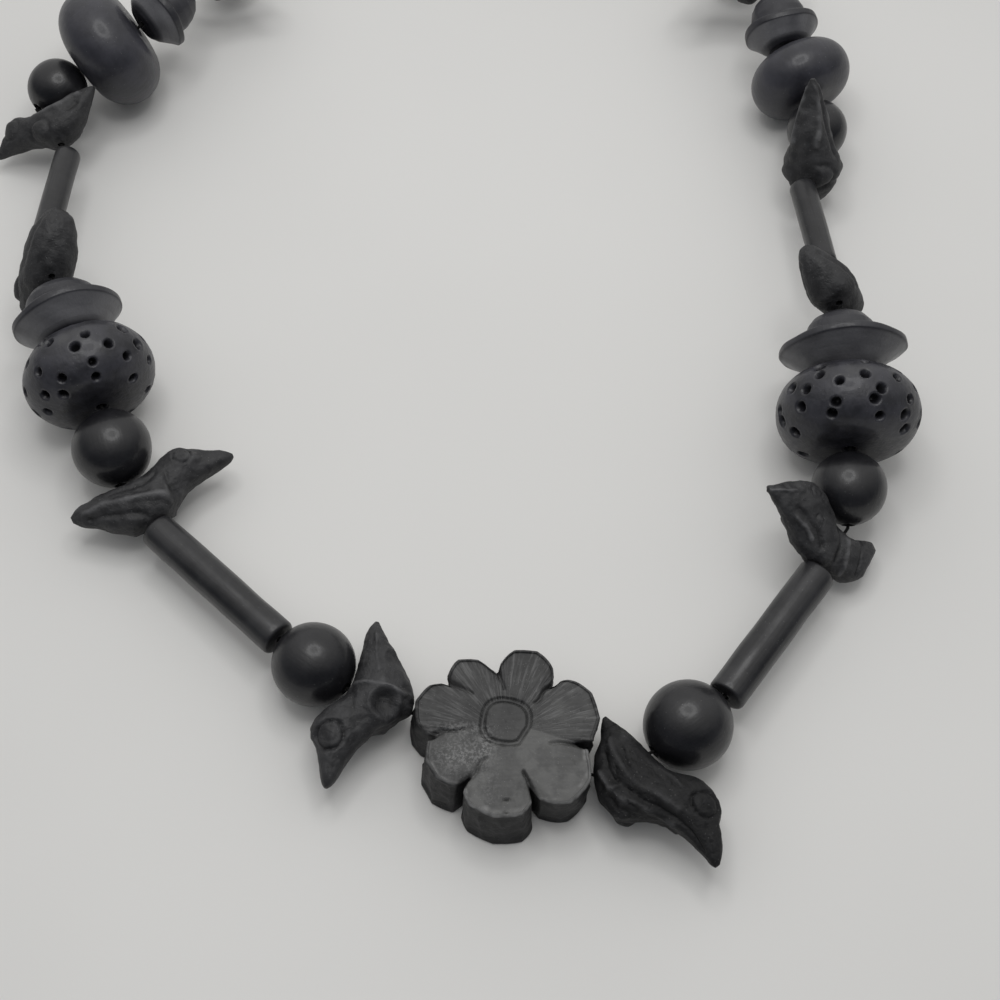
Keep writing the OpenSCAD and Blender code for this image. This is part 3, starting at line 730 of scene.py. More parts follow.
# notch angle, rim radius there, notch length, angle and radius where its line ends,
# reach of the petal after it at a quarter, half and three quarters, inset of its foot, paleness, scratches
petals = [
    (-7, 12.0, 2.4, -12, 6.0, 13.0, 13.4, 13.1, 0.9, 0.46, 1.0),
    (49, 10.5, 0.5, 50, 6.1, 12.7, 13.2, 12.7, 0.4, 0.28, 0.9),
    (97, 10.1, 0.4, 93, 6.8, 11.4, 12.8, 12.8, 0.2, 0.26, 0.9),
    (137, 11.7, 0.7, 127, 7.4, 13.2, 13.4, 12.6, -1.0, 0.28, 0.8),
    (182, 10.8, 0.9, 171, 5.7, 11.5, 11.6, 11.2, -0.9, 0.62, 0.1),
    (231, 9.5, 1.6, 233, 4.4, 11.5, 11.9, 11.9, -0.9, 0.95, 0.1),
    (293, 9.6, 1.5, 294, 5.9, 12.8, 13.4, 12.6, 0.3, 1.0, 0.15),
]
# small marks on the face: from x, y to x, y, width, depth
flowerMarks = [
    (10.3, 4.3, 10.5, 2.8, 0.08, 0.07), (10.5, 2.7, 11.7, 3.1, 0.07, 0.04),
    (2.35, -5.6, 2.5, -5.9, 0.22, 0.35), (-0.3, -9.3, 0.4, -9.35, 0.12, 0.3),
    (-0.2, -11.1, 0.1, -11.2, 0.16, 0.25), (9.3, -3.9, 9.4, -4.3, 0.12, 0.12),
    (0.1, -7.0, 0.4, -7.4, 0.1, 0.06), (3.6, -8.6, 4.2, -8.9, 0.12, 0.08),
]
# patches of pale dust on the face: middle x, y, size in x, y, how dusty
flowerDust = [
    (-6.0, -3.2, 3.6, 2.4, 1.0), (-6.0, 0.8, 3.5, 0.9, 0.8),
    (-2.6, -1.6, 1.2, 1.7, 0.9), (-2.4, -8.0, 1.4, 2.4, 0.35),
]


def spread(values, passes):  # blends each petal's value into its neighbours' along the rim
    for _ in range(passes):
        values = (np.roll(values, 1) + values + np.roll(values, -1)) / 3
    return values


def flowerRim():  # the rim's points, and the inset of the foot, paleness and scratches beside each
    points, foot, pale, scratched = [], [], [], []
    for petal, after in zip(petals, petals[1:] + petals[:1]):
        angle, rimHere, cutHere, _, _, quarter, halfway, last, inset, paleness, scratches = petal
        t = np.arange(flowerShape["columns"]) / flowerShape["columns"]
        t = 0.2 * t + 0.8 * t * t * (3 - 2 * t)  # closer together at the notches
        sweep = math.radians((after[0] - angle) % 360)
        rim = rimHere + (after[1] - rimHere) * t
        turn = (t - 0.5) / 0.25
        reach = halfway + (last - quarter) / 2 * turn + (quarter + last - 2 * halfway) / 2 * turn ** 2
        radius = rim + (reach - rim) * (1 - np.abs(2 * t - 1) ** 4.5)
        flat = (flowerShape["flats"] * t + 0.01 * angle) % 1
        radius = radius - flowerShape["flatDepth"] * 4 * flat * (1 - flat)
        cut = 0
        near, far = 0.15 * flowerShape["notchHalf"], 1.3 * flowerShape["notchHalf"]
        for share, length in ((t, cutHere), (1 - t, after[2])):
            cut = cut + length * (1 - smoothStep(near, far, radius * np.sin(sweep * share)))
        way = math.radians(angle) + sweep * t
        points.append(np.stack([(radius - cut) * np.cos(way), (radius - cut) * np.sin(way)], -1))
        for values, value in ((foot, inset), (pale, paleness), (scratched, scratches)):
            values.append(np.full(len(t), value))
    foot, pale, scratched = (spread(np.concatenate(values), passes)
                             for values, passes in ((foot, 120), (pale, 40), (scratched, 40)))
    return np.concatenate(points), foot, pale, scratched


def segmentDistance(x, y, x0, y0, x1, y1):
    run = np.hypot(x1 - x0, y1 - y0)
    t = np.clip(((x - x0) * (x1 - x0) + (y - y0) * (y1 - y0)) / run ** 2, 0, 1)
    return np.hypot(x - x0 - t * (x1 - x0), y - y0 - t * (y1 - y0))


def faceCuts(x, y):  # how deep the soft valleys and the carved lines of the flower's face are at each point
    valleys, lines = np.zeros_like(x), np.zeros_like(x)
    for angle, rim, _, endAngle, endRadius, *_ in petals:
        (x0, y0), (x1, y1) = ((r * math.cos(math.radians(a)), r * math.sin(math.radians(a)))
                              for a, r in ((angle, rim + 1), (endAngle, endRadius)))
        sway = 0.16 * np.sin(1.3 * (x + y) + angle)
        away = segmentDistance(x + sway, y - sway, x0, y0, x1, y1)
        grown = smoothStep(endRadius - 0.5, rim, np.hypot(x, y))
        width = flowerShape["lineWidth"] * (0.8 + 0.6 * grown)
        lines += flowerShape["lineDepth"] * (0.7 + 0.7 * grown) * np.exp(-(away / width) ** 2)
        valleys += flowerShape["valley"] * grown * np.exp(-(away / 1.3) ** 2)
    dx, dy = x - flowerShape["ringAt"][0], y - flowerShape["ringAt"][1]
    turn, flatSide, square = math.radians(-8), math.radians(-32), 2.6  # the ring is a rounded square
    a = np.abs(dx * math.cos(turn) + dy * math.sin(turn))
    b = np.abs(dy * math.cos(turn) - dx * math.sin(turn))
    size = (a ** square + b ** square) ** (1 / square)
    size = np.maximum(size, 1.05 * (dx * math.cos(flatSide) + dy * math.sin(flatSide)))
    near = flowerShape["ringSize"] - flowerShape["ringWidth"] / 2
    far = flowerShape["ringSize"] + flowerShape["ringWidth"] / 2
    soft = 0.08
    band = smoothStep(near - soft, near + soft, size) - smoothStep(far - soft, far + soft, size)
    edges = np.exp(-((size - near) / 0.14) ** 2) + np.exp(-((size - far) / 0.15) ** 2)
    lines += flowerShape["ringDepth"] * band + 0.2 * edges
    for x0, y0, x1, y1, width, depth in flowerMarks:
        lines += depth * np.exp(-(segmentDistance(x, y, x0, y0, x1, y1) / width) ** 2)
    return valleys, lines


def makeFlower():
    thickness, edge, foot = flowerPlace["thickness"], flowerShape["edge"], flowerShape["footEdge"]
    rim, inset, pale, scratched = flowerRim()
    centre = np.array(flowerShape["ringAt"])
    away = rim - centre
    inner = centre + flowerShape["innerSize"] * away / np.linalg.norm(away, axis=1)[:, None]
    toward = (inner - rim) / np.linalg.norm(inner - rim, axis=1)[:, None]
    rows, faceShare, edgeShare = [], [], []

    def addRow(plan, height, face=0.0, wornAndHighlit=0.0):
        rows.append(np.column_stack([plan, np.full(len(plan), height)]))
        faceShare.append(np.full(len(plan), face))
        edgeShare.append(wornAndHighlit * pale)

    footRim = rim + toward * (foot + inset[:, None])
    for share in (0.2, 0.45, 0.65, 0.8, 0.92):
        addRow(centre + (footRim - centre) * share, 0)
    for k in range(5):
        turn = math.pi / 2 * k / 4
        addRow(rim + toward * (foot * (1 - math.sin(turn)) + inset[:, None]), foot * (1 - math.cos(turn)))
    for k in range(1, flowerShape["wallRows"] + 1):
        up = k / (flowerShape["wallRows"] + 1)
        out = inset[:, None] * (1 - up) ** 1.3 - flowerShape["bulge"] * math.sin(math.pi * up)
        addRow(rim + toward * out, foot + (thickness - edge - foot) * up)
    for k in range(6):
        turn = math.pi / 2 * k / 6
        inward, below = edge * (1 - math.cos(turn)), edge * (1 - math.sin(turn))
        addRow(rim + toward * inward, thickness - below, turn * 0.64, math.sin(turn))
    faceRim = rim + toward * edge
    for k in range(flowerShape["faceRows"]):
        share = (k / flowerShape["faceRows"]) ** 1.15
        height = thickness - flowerShape["crown"] * (1 - share) ** 4
        addRow(faceRim + (inner - faceRim) * share, height, 1.0, math.exp(-(k / 3) ** 2))
    onRing = np.linspace(1, 0.5, flowerShape["ringRows"], endpoint=False)
    for share in np.concatenate([onRing, np.linspace(0.5, 0.06, 6)]):
        addRow(centre + (inner - centre) * share, thickness, 1.0)
    grid = np.array(rows)
    faceShare, edgeShare = np.array(faceShare), np.array(edgeShare)

    valleys, lines = faceCuts(grid[..., 0], grid[..., 1])
    uneven = unevenness(grid.reshape(-1, 3), 6, 5).reshape(grid.shape[:2])
    rough = unevenness(grid.reshape(-1, 3), 1.3, 6, 24).reshape(grid.shape[:2])
    chips = unevenness(grid.reshape(-1, 3), 2.2, 9, 20).reshape(grid.shape[:2])
    top = smoothStep(thickness - 1.2, thickness - edge * 0.5, grid[..., 2])
    worked = flowerShape["unevenDepth"] * (uneven + 1) + flowerShape["roughDepth"] * (rough + 1)
    grid[..., 2] -= top * (valleys + lines + worked + flowerShape["chipDepth"] * (chips + 1))
    wall = (1 - top) * smoothStep(0, 1.5, grid[..., 2])
    walked = np.cumsum(np.linalg.norm(np.roll(rim, -1, 0) - rim, axis=1))[None, :]
    facet = (walked / flowerShape["facet"] + 0.05 * grid[..., 2] + 0.25 * uneven) % 1  # one for each cut
    pared = 0.014 * (uneven + 1) + 0.006 * rough + 0.01 * chips + 0.1 * facet * (1 - facet)
    grid[..., :2] *= (1 - wall * pared)[..., None]

    place = Matrix.Translation(Vector((flowerPlace["x"], flowerPlace["y"], 0)) * mm)
    piece = makePiece("flower", grid, place, petalClay, closedRows=False)
    faceX, faceY = grid[..., 0], grid[..., 1]
    onDisc = smoothStep(3.6, 3.0, np.hypot(faceX - centre[0], faceY - centre[1]))
    dusted = sum(share * np.exp(-((faceX - x) / wide) ** 2 - ((faceY - y) / deep) ** 2)
                 for x, y, wide, deep, share in flowerDust)
    wornAndHighlit = 1.2 * edgeShare * smoothStep(0.4, 0.75, pale)[None, :] * (0.75 + 0.6 * rough)
    addMask(piece, "dusted", np.clip(dusted, 0, 1) * faceShare)
    addMask(piece, "topFace", faceShare * (pale[None, :] + (0.4 - pale[None, :]) * onDisc))
    addMask(piece, "scratched", faceShare * scratched[None, :] * (1 - onDisc))
    # relief: the pale top edges are partly wear and partly a painted highlight, the carved lines get a
    # painted shade
    addMask(piece, "relief", wornAndHighlit - 1.6 * lines * top)
    drillBore(piece, Matrix.Translation((0, 0, thickness / 2 * mm)) @ turned(flowerPlace["heading"], "Z"))


makeFlower()
print("flower made")


# Birds. Each is lofted through sections: distance from the tail, back line, belly line, thickness
commonBird = [
    (0.0, 0.3, -0.5, 0.8), (0.8, 0.7, -1.4, 2.0), (2.5, 1.1, -3.0, 3.6), (5.0, 1.4, -5.4, 5.8),
    (8.0, 1.4, -7.2, 7.6), (10.5, 1.3, -7.5, 8.0), (13.0, 1.8, -6.6, 7.8), (15.0, 3.0, -4.8, 6.8),
    (17.0, 4.5, -3.4, 6.4), (18.8, 4.8, -2.6, 6.0), (20.4, 3.5, -2.0, 4.8), (22.0, 2.4, -1.6, 3.6),
    (24.2, 1.2, -0.9, 2.0), (25.4, 0.4, -0.4, 0.8),
]
birdSections = {
    "bird_l1": [
        (0.2, 0.4, -0.3, 0.9), (1.2, 1.0, -1.1, 2.4), (2.5, 1.3, -2.3, 3.8), (4.5, 1.3, -4.1, 5.4),
        (6.5, 1.2, -5.9, 6.4), (8.8, 1.2, -7.4, 7.2), (10.6, 1.3, -8.1, 7.6), (12.4, 2.0, -8.2, 7.6),
        (13.6, 3.0, -6.8, 7.2), (15.0, 4.2, -5.3, 7.0), (16.6, 5.1, -3.7, 6.8), (18.0, 5.4, -2.8, 6.6),
        (19.2, 4.9, -2.1, 6.2), (20.4, 3.8, -1.6, 5.6), (22.4, 2.9, -0.9, 4.4), (24.2, 2.1, -0.3, 3.2),
        (25.1, 1.6, 0.2, 2.0), (25.5, 1.1, 0.6, 0.8),
    ],
    "bird_r1": [
        (-0.7, -1.3, -2.0, 0.9), (0.3, -0.9, -3.0, 2.4), (1.4, -0.4, -3.9, 3.6), (3.0, 0.1, -6.0, 4.8),
        (4.9, 0.4, -7.5, 5.8), (6.7, 0.7, -8.4, 6.8), (8.7, 0.9, -9.0, 7.4), (10.6, 1.4, -8.8, 7.6),
        (11.8, 2.4, -8.6, 7.6), (13.1, 3.5, -7.7, 7.4), (14.6, 4.4, -5.4, 7.2), (16.3, 4.7, -3.5, 6.8),
        (18.0, 4.6, -2.9, 6.4), (19.3, 4.0, -2.5, 5.8), (20.5, 2.8, -2.2, 5.0), (22.0, 2.1, -1.9, 4.2),
        (23.2, 1.4, -1.7, 3.4), (24.3, 0.3, -1.6, 2.2), (24.9, -0.4, -1.3, 0.9),
    ],
    "bird_l2": [
        (1.0, 0.1, -0.9, 0.9), (1.7, 0.7, -1.9, 2.4), (2.8, 1.1, -2.8, 3.6), (4.6, 1.3, -4.2, 5.0),
        (6.4, 1.4, -5.7, 6.0), (8.2, 1.3, -6.9, 7.0), (10.4, 1.1, -7.2, 7.6), (12.0, 1.2, -7.1, 7.6),
        (13.6, 1.6, -6.9, 7.4), (15.0, 2.2, -6.3, 7.0), (16.4, 3.0, -5.1, 6.8), (18.0, 3.6, -3.9, 6.4),
        (19.6, 3.7, -3.4, 5.8), (20.8, 3.0, -3.1, 5.2), (21.8, 2.1, -2.9, 4.6), (23.4, 1.3, -2.6, 3.8),
        (25.0, 0.5, -2.3, 2.8), (26.0, -0.3, -2.0, 1.8), (26.5, -0.9, -1.5, 0.8),
    ],
    "bird_r2": [
        (-0.4, 1.6, -2.2, 3.2), (0.3, 2.8, -4.4, 5.0), (1.4, 3.0, -6.0, 6.2), (3.3, 2.2, -7.4, 6.8),
        (5.4, 1.2, -7.6, 7.0), (7.6, 1.0, -7.7, 7.0), (9.4, 1.1, -7.7, 7.0), (11.4, 2.2, -7.7, 7.0),
        (13.0, 3.6, -7.6, 6.8), (15.4, 5.2, -7.4, 6.4), (17.4, 5.9, -6.8, 6.4), (18.9, 5.9, -5.2, 6.2),
        (21.4, 4.9, -3.7, 5.2), (23.6, 3.4, -2.6, 4.0), (25.6, 1.7, -1.7, 2.8), (27.0, 0.5, -0.9, 1.6),
        (27.5, 0.1, -0.5, 0.8),
    ],
    "bird_l3": [
        (3.6, 1.0, -2.0, 3.0), (4.2, 1.8, -3.2, 5.0), (5.4, 2.3, -4.2, 6.6), (7.2, 2.6, -5.4, 8.0),
        (9.2, 2.7, -6.4, 9.0), (12.0, 2.6, -7.0, 9.4), (15.0, 2.4, -7.0, 9.4), (17.4, 3.0, -6.4, 9.0),
        (19.6, 3.4, -5.4, 8.4), (21.4, 3.2, -4.6, 7.4), (23.0, 2.4, -3.7, 6.0), (24.2, 1.5, -2.6, 4.0),
        (24.9, 0.6, -1.3, 1.8),
    ],
    "bird_r3": [
        (5.4, 0.6, -1.8, 2.2), (6.2, 1.6, -3.2, 3.8), (7.6, 2.2, -4.6, 5.4), (9.4, 2.2, -5.8, 7.0),
        (11.0, 2.0, -6.8, 8.2), (12.6, 1.6, -7.4, 9.0), (14.6, 1.4, -7.2, 9.2), (17.0, 2.2, -6.6, 8.0),
        (19.2, 2.6, -5.6, 7.2), (20.8, 2.4, -4.6, 6.0), (21.8, 1.6, -3.4, 4.2), (22.4, 0.8, -2.2, 1.8),
    ],
    "bird_r4": [
        (0.0, 0.4, -0.5, 0.9), (1.0, 0.9, -1.0, 1.9), (3.0, 1.4, -1.7, 3.2), (6.0, 2.0, -2.8, 4.8),
        (9.0, 2.6, -4.0, 6.4), (12.0, 3.2, -4.4, 8.2), (14.4, 3.6, -4.6, 10.4), (16.4, 3.8, -4.6, 11.0),
        (18.4, 4.0, -4.4, 9.6), (20.0, 3.6, -3.8, 7.4), (21.4, 2.8, -3.0, 5.4), (22.4, 1.9, -2.1, 3.6),
        (23.0, 1.0, -1.2, 1.4),
    ],
}
# Carving on the flanks, u along the bird and v up it: knobs (u, v, radius, height),
# rings (u, v, radius, width, height), lines (points, width, height),
# and flat knife cuts (u, v, w of a point on the cut, then the way it faces)
commonCarving = {
    "knobs": [(18.4, 2.2, 1.3, 0.25), (13.6, -3.4, 1.8, 0.6)],
    "rings": [(18.4, 2.2, 1.8, 0.3, -0.3), (13.6, -3.4, 2.3, 0.5, -0.4)],
    "lines": [([(2.5, -0.6), (6, -0.7), (10, -0.8), (14, 0.6)], 0.7, 0.45),
              ([(3, -2), (7, -3), (11, -3.2)], 0.6, -0.45),
              ([(21.6, 0.6), (24.4, 0.1)], 0.25, -0.2)],
    "cuts": [(2, 0, 1.6, -0.2, 0.5, 1), (2, -2, 1.6, -0.3, -0.5, 1), (20, -2, 3.2, 0.3, -0.6, 1)],
}
birdCarving = {
    "bird_l1": {
        "knobs": [(19.0, 2.2, 1.1, 0.22), (12.8, -3.9, 1.5, -1.0), (15.4, -4.4, 1.2, 0.4)],
        "rings": [(19.0, 2.2, 1.95, 0.24, -0.42), (19.0, 2.2, 0.95, 0.2, -0.12),
                  (12.8, -3.9, 2.2, 0.45, 0.4)],
        "lines": [([(10.6, 0.6), (10.3, -0.8), (10.5, -3.4), (10.8, -6.4)], 0.4, 0.4),
                  ([(2.4, -0.2), (8.3, -1.9)], 0.3, 0.2),
                  ([(12.6, 0.6), (14.6, 0.4), (17.0, -1.2)], 0.35, -0.25),
                  ([(21.4, 1.6), (24.6, 1.0)], 0.2, -0.12)],
        "cuts": [(4, -3.2, 1.9, -0.25, -0.8, 1), (5, 1.0, 2.6, -0.1, 0.9, 0.9),
                 (22, 2.4, 2.0, 0.2, 0.8, 0.9), (22, -0.6, 2.0, 0.2, -0.8, 0.9)],
    },
    "bird_r1": {
        "knobs": [(17.8, 2.4, 1.5, 0.15), (7.2, -1.4, 1.6, -0.5), (12.6, -7.6, 1.6, 0.6)],
        "rings": [(17.8, 2.4, 1.8, 0.22, -0.4)],
        "lines": [([(3.0, -2.9), (5.7, -3.7), (8.2, -3.9), (11.0, -3.3), (13.7, -2.1),
                    (16.5, -1.0)], 0.5, 0.32),
                  ([(4.2, -4.6), (6.4, -5.5), (8.2, -5.6), (10.4, -4.8), (13.1, -4.1), (14.9, -2.9),
                    (17.3, -1.9), (20.4, -1.4), (22.6, -1.5)], 0.3, -0.36),
                  ([(3.6, -1.0), (6.0, -0.4), (9.0, 0.0), (12.0, 0.8), (14.2, 1.2)], 0.5, 0.3),
                  ([(6.2, -6.6), (8.6, -6.9), (10.7, -6.4), (12.6, -5.2), (15, -3.7),
                    (17.6, -2.8)], 0.4, 0.45),
                  ([(9.6, -7.8), (11.8, -7.2), (13.6, -6.2)], 0.3, -0.4),
                  ([(8.9, -7.2), (9.3, -5.4)], 0.35, 0.35),
                  ([(5.0, -2.0), (7.6, -2.6), (9.4, -2.4)], 0.16, -0.2),
                  ([(10.4, -2.2), (12.6, -1.0)], 0.16, -0.2),
                  ([(7.0, -4.7), (8.0, -5.1)], 0.14, -0.25), ([(11.2, -6.0), (12.8, -5.6)], 0.14, -0.25),
                  ([(1.2, 0.2), (1.0, -3.6)], 0.16, -0.3), ([(20.2, 1.0), (23.6, -0.6)], 0.25, -0.15)],
        "cuts": [(0.6, -1.6, 1.4, -0.5, 0.2, 1), (22, 1.6, 1.8, 0.2, 0.8, 0.9)],
    },
    "bird_l2": {
        "knobs": [(19.4, 0.5, 1.9, 0.75)],
        "rings": [(19.4, 0.5, 1.35, 0.18, -0.3)],
        "lines": [([(3.0, -1.2), (7.3, -2.4), (11.0, -3.4), (14.4, -4.4)], 0.65, 0.5),
                  ([(3.2, -2.4), (6.1, -3.9), (8.5, -4.9), (11, -6.2)], 0.5, -0.45),
                  ([(7.6, -0.5), (10.2, -1.1), (12.6, -1.4), (14.4, -0.6)], 0.4, -0.35),
                  ([(15.4, -3.2), (15.0, -5.4)], 0.4, 0.3),
                  ([(16.2, -1.2), (15.8, -3.2), (16.4, -4.4)], 0.3, -0.25)],
        "cuts": [(3, 0.4, 2.2, -0.2, 0.6, 1), (23.4, 0.6, 1.9, 0.1, 0.7, 1),
                 (23, -2.2, 2.2, 0.1, -0.7, 1)],
    },
    "bird_r2": {
        "knobs": [(16.0, -0.8, 0.6, 0.25), (11.6, -6.0, 1.8, 0.5)],
        "rings": [(18.5, 4.0, 1.3, 0.2, -0.2), (16.0, -0.8, 0.9, 0.18, -0.25)],
        "lines": [([(27.0, -0.6), (24.0, 0.9), (21.4, 2.4)], 0.3, 0.4),
                  ([(20.4, -2.8), (18.0, -3.6), (15.8, -4.8)], 0.45, 0.45),
                  ([(21, -1.2), (18.4, -2.0), (15.4, -2.9), (13.2, -5.0)], 0.45, -0.5),
                  ([(10.8, 1.2), (9.6, -2.6), (9.2, -6)], 0.6, -0.5),
                  ([(8.2, -1.0), (7.4, -4.2), (6.6, -7)], 0.5, 0.4),
                  ([(4.6, 1.4), (4.4, -2), (3.4, -5.6)], 0.3, -0.35)],
        "cuts": [(2.6, 1.6, 2.6, -0.35, 0.75, 1), (0.8, -2, 2.0, -1, -0.1, 0.9),
                 (3, -6, 2.4, -0.4, -0.8, 0.8), (25, 1.2, 1.3, 0.3, 0.7, 0.9),
                 (14, 4.8, 2.6, -0.1, 0.9, 0.8), (14.5, -6.4, 2.8, 0.1, -0.8, 0.8)],
    },
    "bird_l3": {
        "knobs": [(20.0, 1.0, 2.4, 0.6)], "rings": [(20.0, 1.0, 2.8, 0.5, -0.4)],
        "lines": [([(6, -1.5), (10, -2.6), (14, -3.0)], 0.7, -0.3),
                  ([(8, 0.6), (12, 0.4), (16, 0.8)], 0.6, 0.3)],
        "cuts": [],
    },
    "bird_r3": {
        "knobs": [], "rings": [], "cuts": [(9, -1, 3.2, -0.2, 0.5, 1)],
        "lines": [([(7, -2.0), (11, -3.4), (15, -4.4)], 0.5, -0.35),
                  ([(9, 0.8), (13, 0.2), (17, 0.6)], 0.6, 0.35)],
    },
    "bird_l4": {
        "knobs": [(19.0, 1.4, 2.6, 0.5), (13.0, -3.8, 2.0, 0.6)],
        "rings": [(19.0, 1.4, 2.2, 0.3, -0.35), (13.0, -3.8, 2.4, 0.5, -0.4)],
        "lines": [([(3, -0.4), (8, -0.8), (13, 0.2)], 0.7, 0.45), ([(4, -2.4), (8, -3.6)], 0.6, -0.4)],
        "cuts": [(3, -0.5, 1.9, -0.2, 0, 1), (23, 0, 2.2, 0.4, 0, 1)],
    },
    "bird_r4": {
        "knobs": [(16.6, 3.4, 1.8, 0.6), (16.8, -4.6, 2.2, 0.5), (20.6, 0.4, 2.2, 0.35)],
        "rings": [(16.8, -4.6, 2.6, 0.45, -0.4)],
        "lines": [([(1.4, -0.7), (6, -1.9), (11, -3.8)], 0.4, 0.45),
                  ([(1.4, 0.5), (6, 1.3), (11, 2.2)], 0.4, 0.4),
                  ([(4, -0.1), (9, -0.4), (13, -0.6)], 0.6, -0.4),
                  ([(18.6, 2.6), (18.4, -3)], 0.5, -0.4)],
        "cuts": [],
    },
}
# bore along, bore offset, turn, roll, size, grid steps along and around
birdPlace = {
    "bird_l1": (11.5, -2.9, 97, 0, 1, 150, 110), "bird_l2": (10.5, -3.1, -102, 0, 1, 150, 110),
    "bird_l3": (13.0, -2.3, 98, -60, 0.88, 90, 70), "bird_l4": (12.0, -2.9, 80, -26, 0.84, 90, 70),
    "bird_l5": (10.5, -3.1, -88, 0, 0.84, 80, 60), "bird_r1": (6.4, -2.9, -79, 0, 1, 150, 110),
    "bird_r2": (8.5, -3.2, 104, 40, 0.78, 140, 110), "bird_r3": (15.0, -2.1, -90, 52, 0.86, 90, 70),
    "bird_r4": (16.8, -0.2, 104, -108, 0.92, 90, 70), "bird_r5": (10.5, -3.1, 104, 0, 0.98, 80, 60),
}


def loftGrid(sections, along, around):  # rows of points round the bird, from tail to beak
    table = np.array(sections)
    u = np.linspace(0, 1, along)
    u = table[0, 0] + (table[-1, 0] - table[0, 0]) * (0.7 * u + 0.3 * (1 - np.cos(np.pi * u)) / 2)
    fine = np.linspace(table[0, 0], table[-1, 0], 400)
    bell = np.exp(-np.linspace(-2.5, 2.5, 21) ** 2)
    smooth = []
    for k in (1, 2, 3):
        padded = np.pad(np.interp(fine, table[:, 0], table[:, k]), 10, "reflect", reflect_type="odd")
        smooth.append(np.convolve(padded, bell / bell.sum(), "valid"))
    back, belly, thick = (np.interp(u, fine, s) for s in smooth)
    angle = np.linspace(0, 2 * np.pi, around, endpoint=False)
    up, out = np.cos(angle), np.sin(angle)
    up, out = np.sign(up) * np.abs(up) ** 0.9, np.sign(out) * np.abs(out) ** 0.85  # a little squarer
    y = ((back + belly) / 2)[:, None] + ((back - belly) / 2)[:, None] * up
    z = (thick / 2)[:, None] * out
    return np.stack([np.repeat(u[:, None], around, 1), y, z], -1)


def carvingHeight(u, v, carving):  # the height of knobs and rings, and that of the lines
    rounds, lines = np.zeros_like(u), np.zeros_like(u)
    for x, y, radius, rise in carving["knobs"]:
        rounds += rise * np.exp(-(np.hypot(u - x, v - y) / radius) ** 3)
    for x, y, radius, width, rise in carving["rings"]:
        rounds += rise * np.exp(-((np.hypot(u - x, v - y) - radius) / width) ** 2)
    for points, width, rise in carving["lines"]:
        nearest = np.full_like(u, 99.0)
        for (x0, y0), (x1, y1) in zip(points, points[1:]):
            nearest = np.minimum(nearest, segmentDistance(u, v, x0, y0, x1, y1))
        lines += rise * np.exp(-(nearest / width) ** 2)
    return rounds, lines


def knifeCuts(grid, cuts):  # pares each cut flat near its point, the same on both flanks
    pared = grid.copy()
    reach, deepest, share = 4.0, 0.8, 0.85
    for u, v, w, *way in cuts:
        way = np.array(way) / np.linalg.norm(way)
        for side in (1, -1):
            flank = np.array([1, 1, side])
            offset = pared - np.array([u, v, w]) * flank
            near = np.exp(-(np.linalg.norm(offset, axis=-1) / reach) ** 4)
            over = np.clip(offset @ (way * flank), 0, deepest)
            pared -= share * (near * over)[..., None] * way * flank
    return pared


# the clay's own unevenness: size and number of its waves, how far they sway the carving,
# how deep the dents and the two kinds of lumps are, and the share of lumps on the far birds
birdFinish = {
    "waves": ((4, 14), (4, 14), (3.2, 20), (1.5, 30), (0.7, 40)),
    "sway": 0.18, "dents": 0.16, "rough": 0.09, "fine": 0.04, "farShare": 0.5,
}


def makeBird(node):
    boreAlong, boreOffset, turn, roll, size, along, around = birdPlace[node]
    carving = birdCarving.get(node, commonCarving)
    grid = knifeCuts(loftGrid(birdSections.get(node, commonBird), along, around), carving["cuts"])
    normals = gridNormals(grid, False)
    points = grid.reshape(-1, 3)
    seed = beadSeed(node)
    sway, tilt, dents, rough, fine = (unevenness(points, scale, seed + k, count).reshape(grid.shape[:2])
                                      for k, (scale, count) in enumerate(birdFinish["waves"]))
    u, v = grid[..., 0] + birdFinish["sway"] * sway, grid[..., 1] + birdFinish["sway"] * tilt
    rounds, lines = carvingHeight(u, v, carving)
    flank = smoothStep(0.1, 0.5, np.abs(normals[..., 2]))
    stout = np.minimum(1, np.ptp(grid[..., 1], axis=1) / 4)[:, None]  # thin ends are left smooth
    lumps = birdFinish["rough"] * (rough - 0.5) + birdFinish["fine"] * fine
    if node[-1] not in "12":  # the far birds are smoother
        lumps = birdFinish["farShare"] * lumps
    push = flank * (rounds + lines) + birdFinish["dents"] * (dents - 1) + lumps
    grid = (grid + normals * (push * stout)[..., None] - np.array([boreAlong, boreOffset, 0])) * size
    over = turned(180, "X") if turn > 0 else Matrix.Identity(4)  # the back faces away from the flower
    place = beadPlace[node] @ turned(roll, "X") @ turned(turn, "Z") @ over
    # bird_r1 gets the darker copy of the carved clay, a painted shade
    clay = shadedCarvedClay if node == "bird_r1" else carvedClay
    piece = makePiece(node, grid, place, clay, closedRows=False)
    # relief: raised carving is painted paler, partly wear and partly a painted highlight; cut lines and dents
    # get a painted shade
    proud = flank * (lines + np.minimum(rounds, 0.3 * rounds)) + 0.25 * dents + 0.2 * rough
    addMask(piece, "relief", np.clip(1.3 * proud, -1, 1))
    drillBore(piece, over.inverted() @ turned(-turn, "Z"), 60)


for node in birdPlace:
    makeBird(node)
print("birds made")

threadNode = bpy.data.objects["thread"]
for slot in threadNode.material_slots:
    slot.material = waxedThread


# Table, lamps and room
tableSetup = {
    "size": 1.6, "paint": (0.74, 0.735, 0.72, 1), "shade": (0.715, 0.71, 0.695, 1),
    "roughness": 0.55, "specular": 0.25, "poreStrength": 0.15, "poreDepth": 0.05,
}
lampSetup = {
    "centre": (11.7, 12.3, 317), "ring": 85, "count": 12, "diameter": 60, "power": 0.03,
    "brightSide": (0.05, 0.55, 0.83), "fade": (-0.08, 0.95), "nearRoom": (0.1, 0.11, 0.13, 1),
    "farRoom": (1.0, 0.995, 0.98, 1), "roomStrength": 0.82,
}

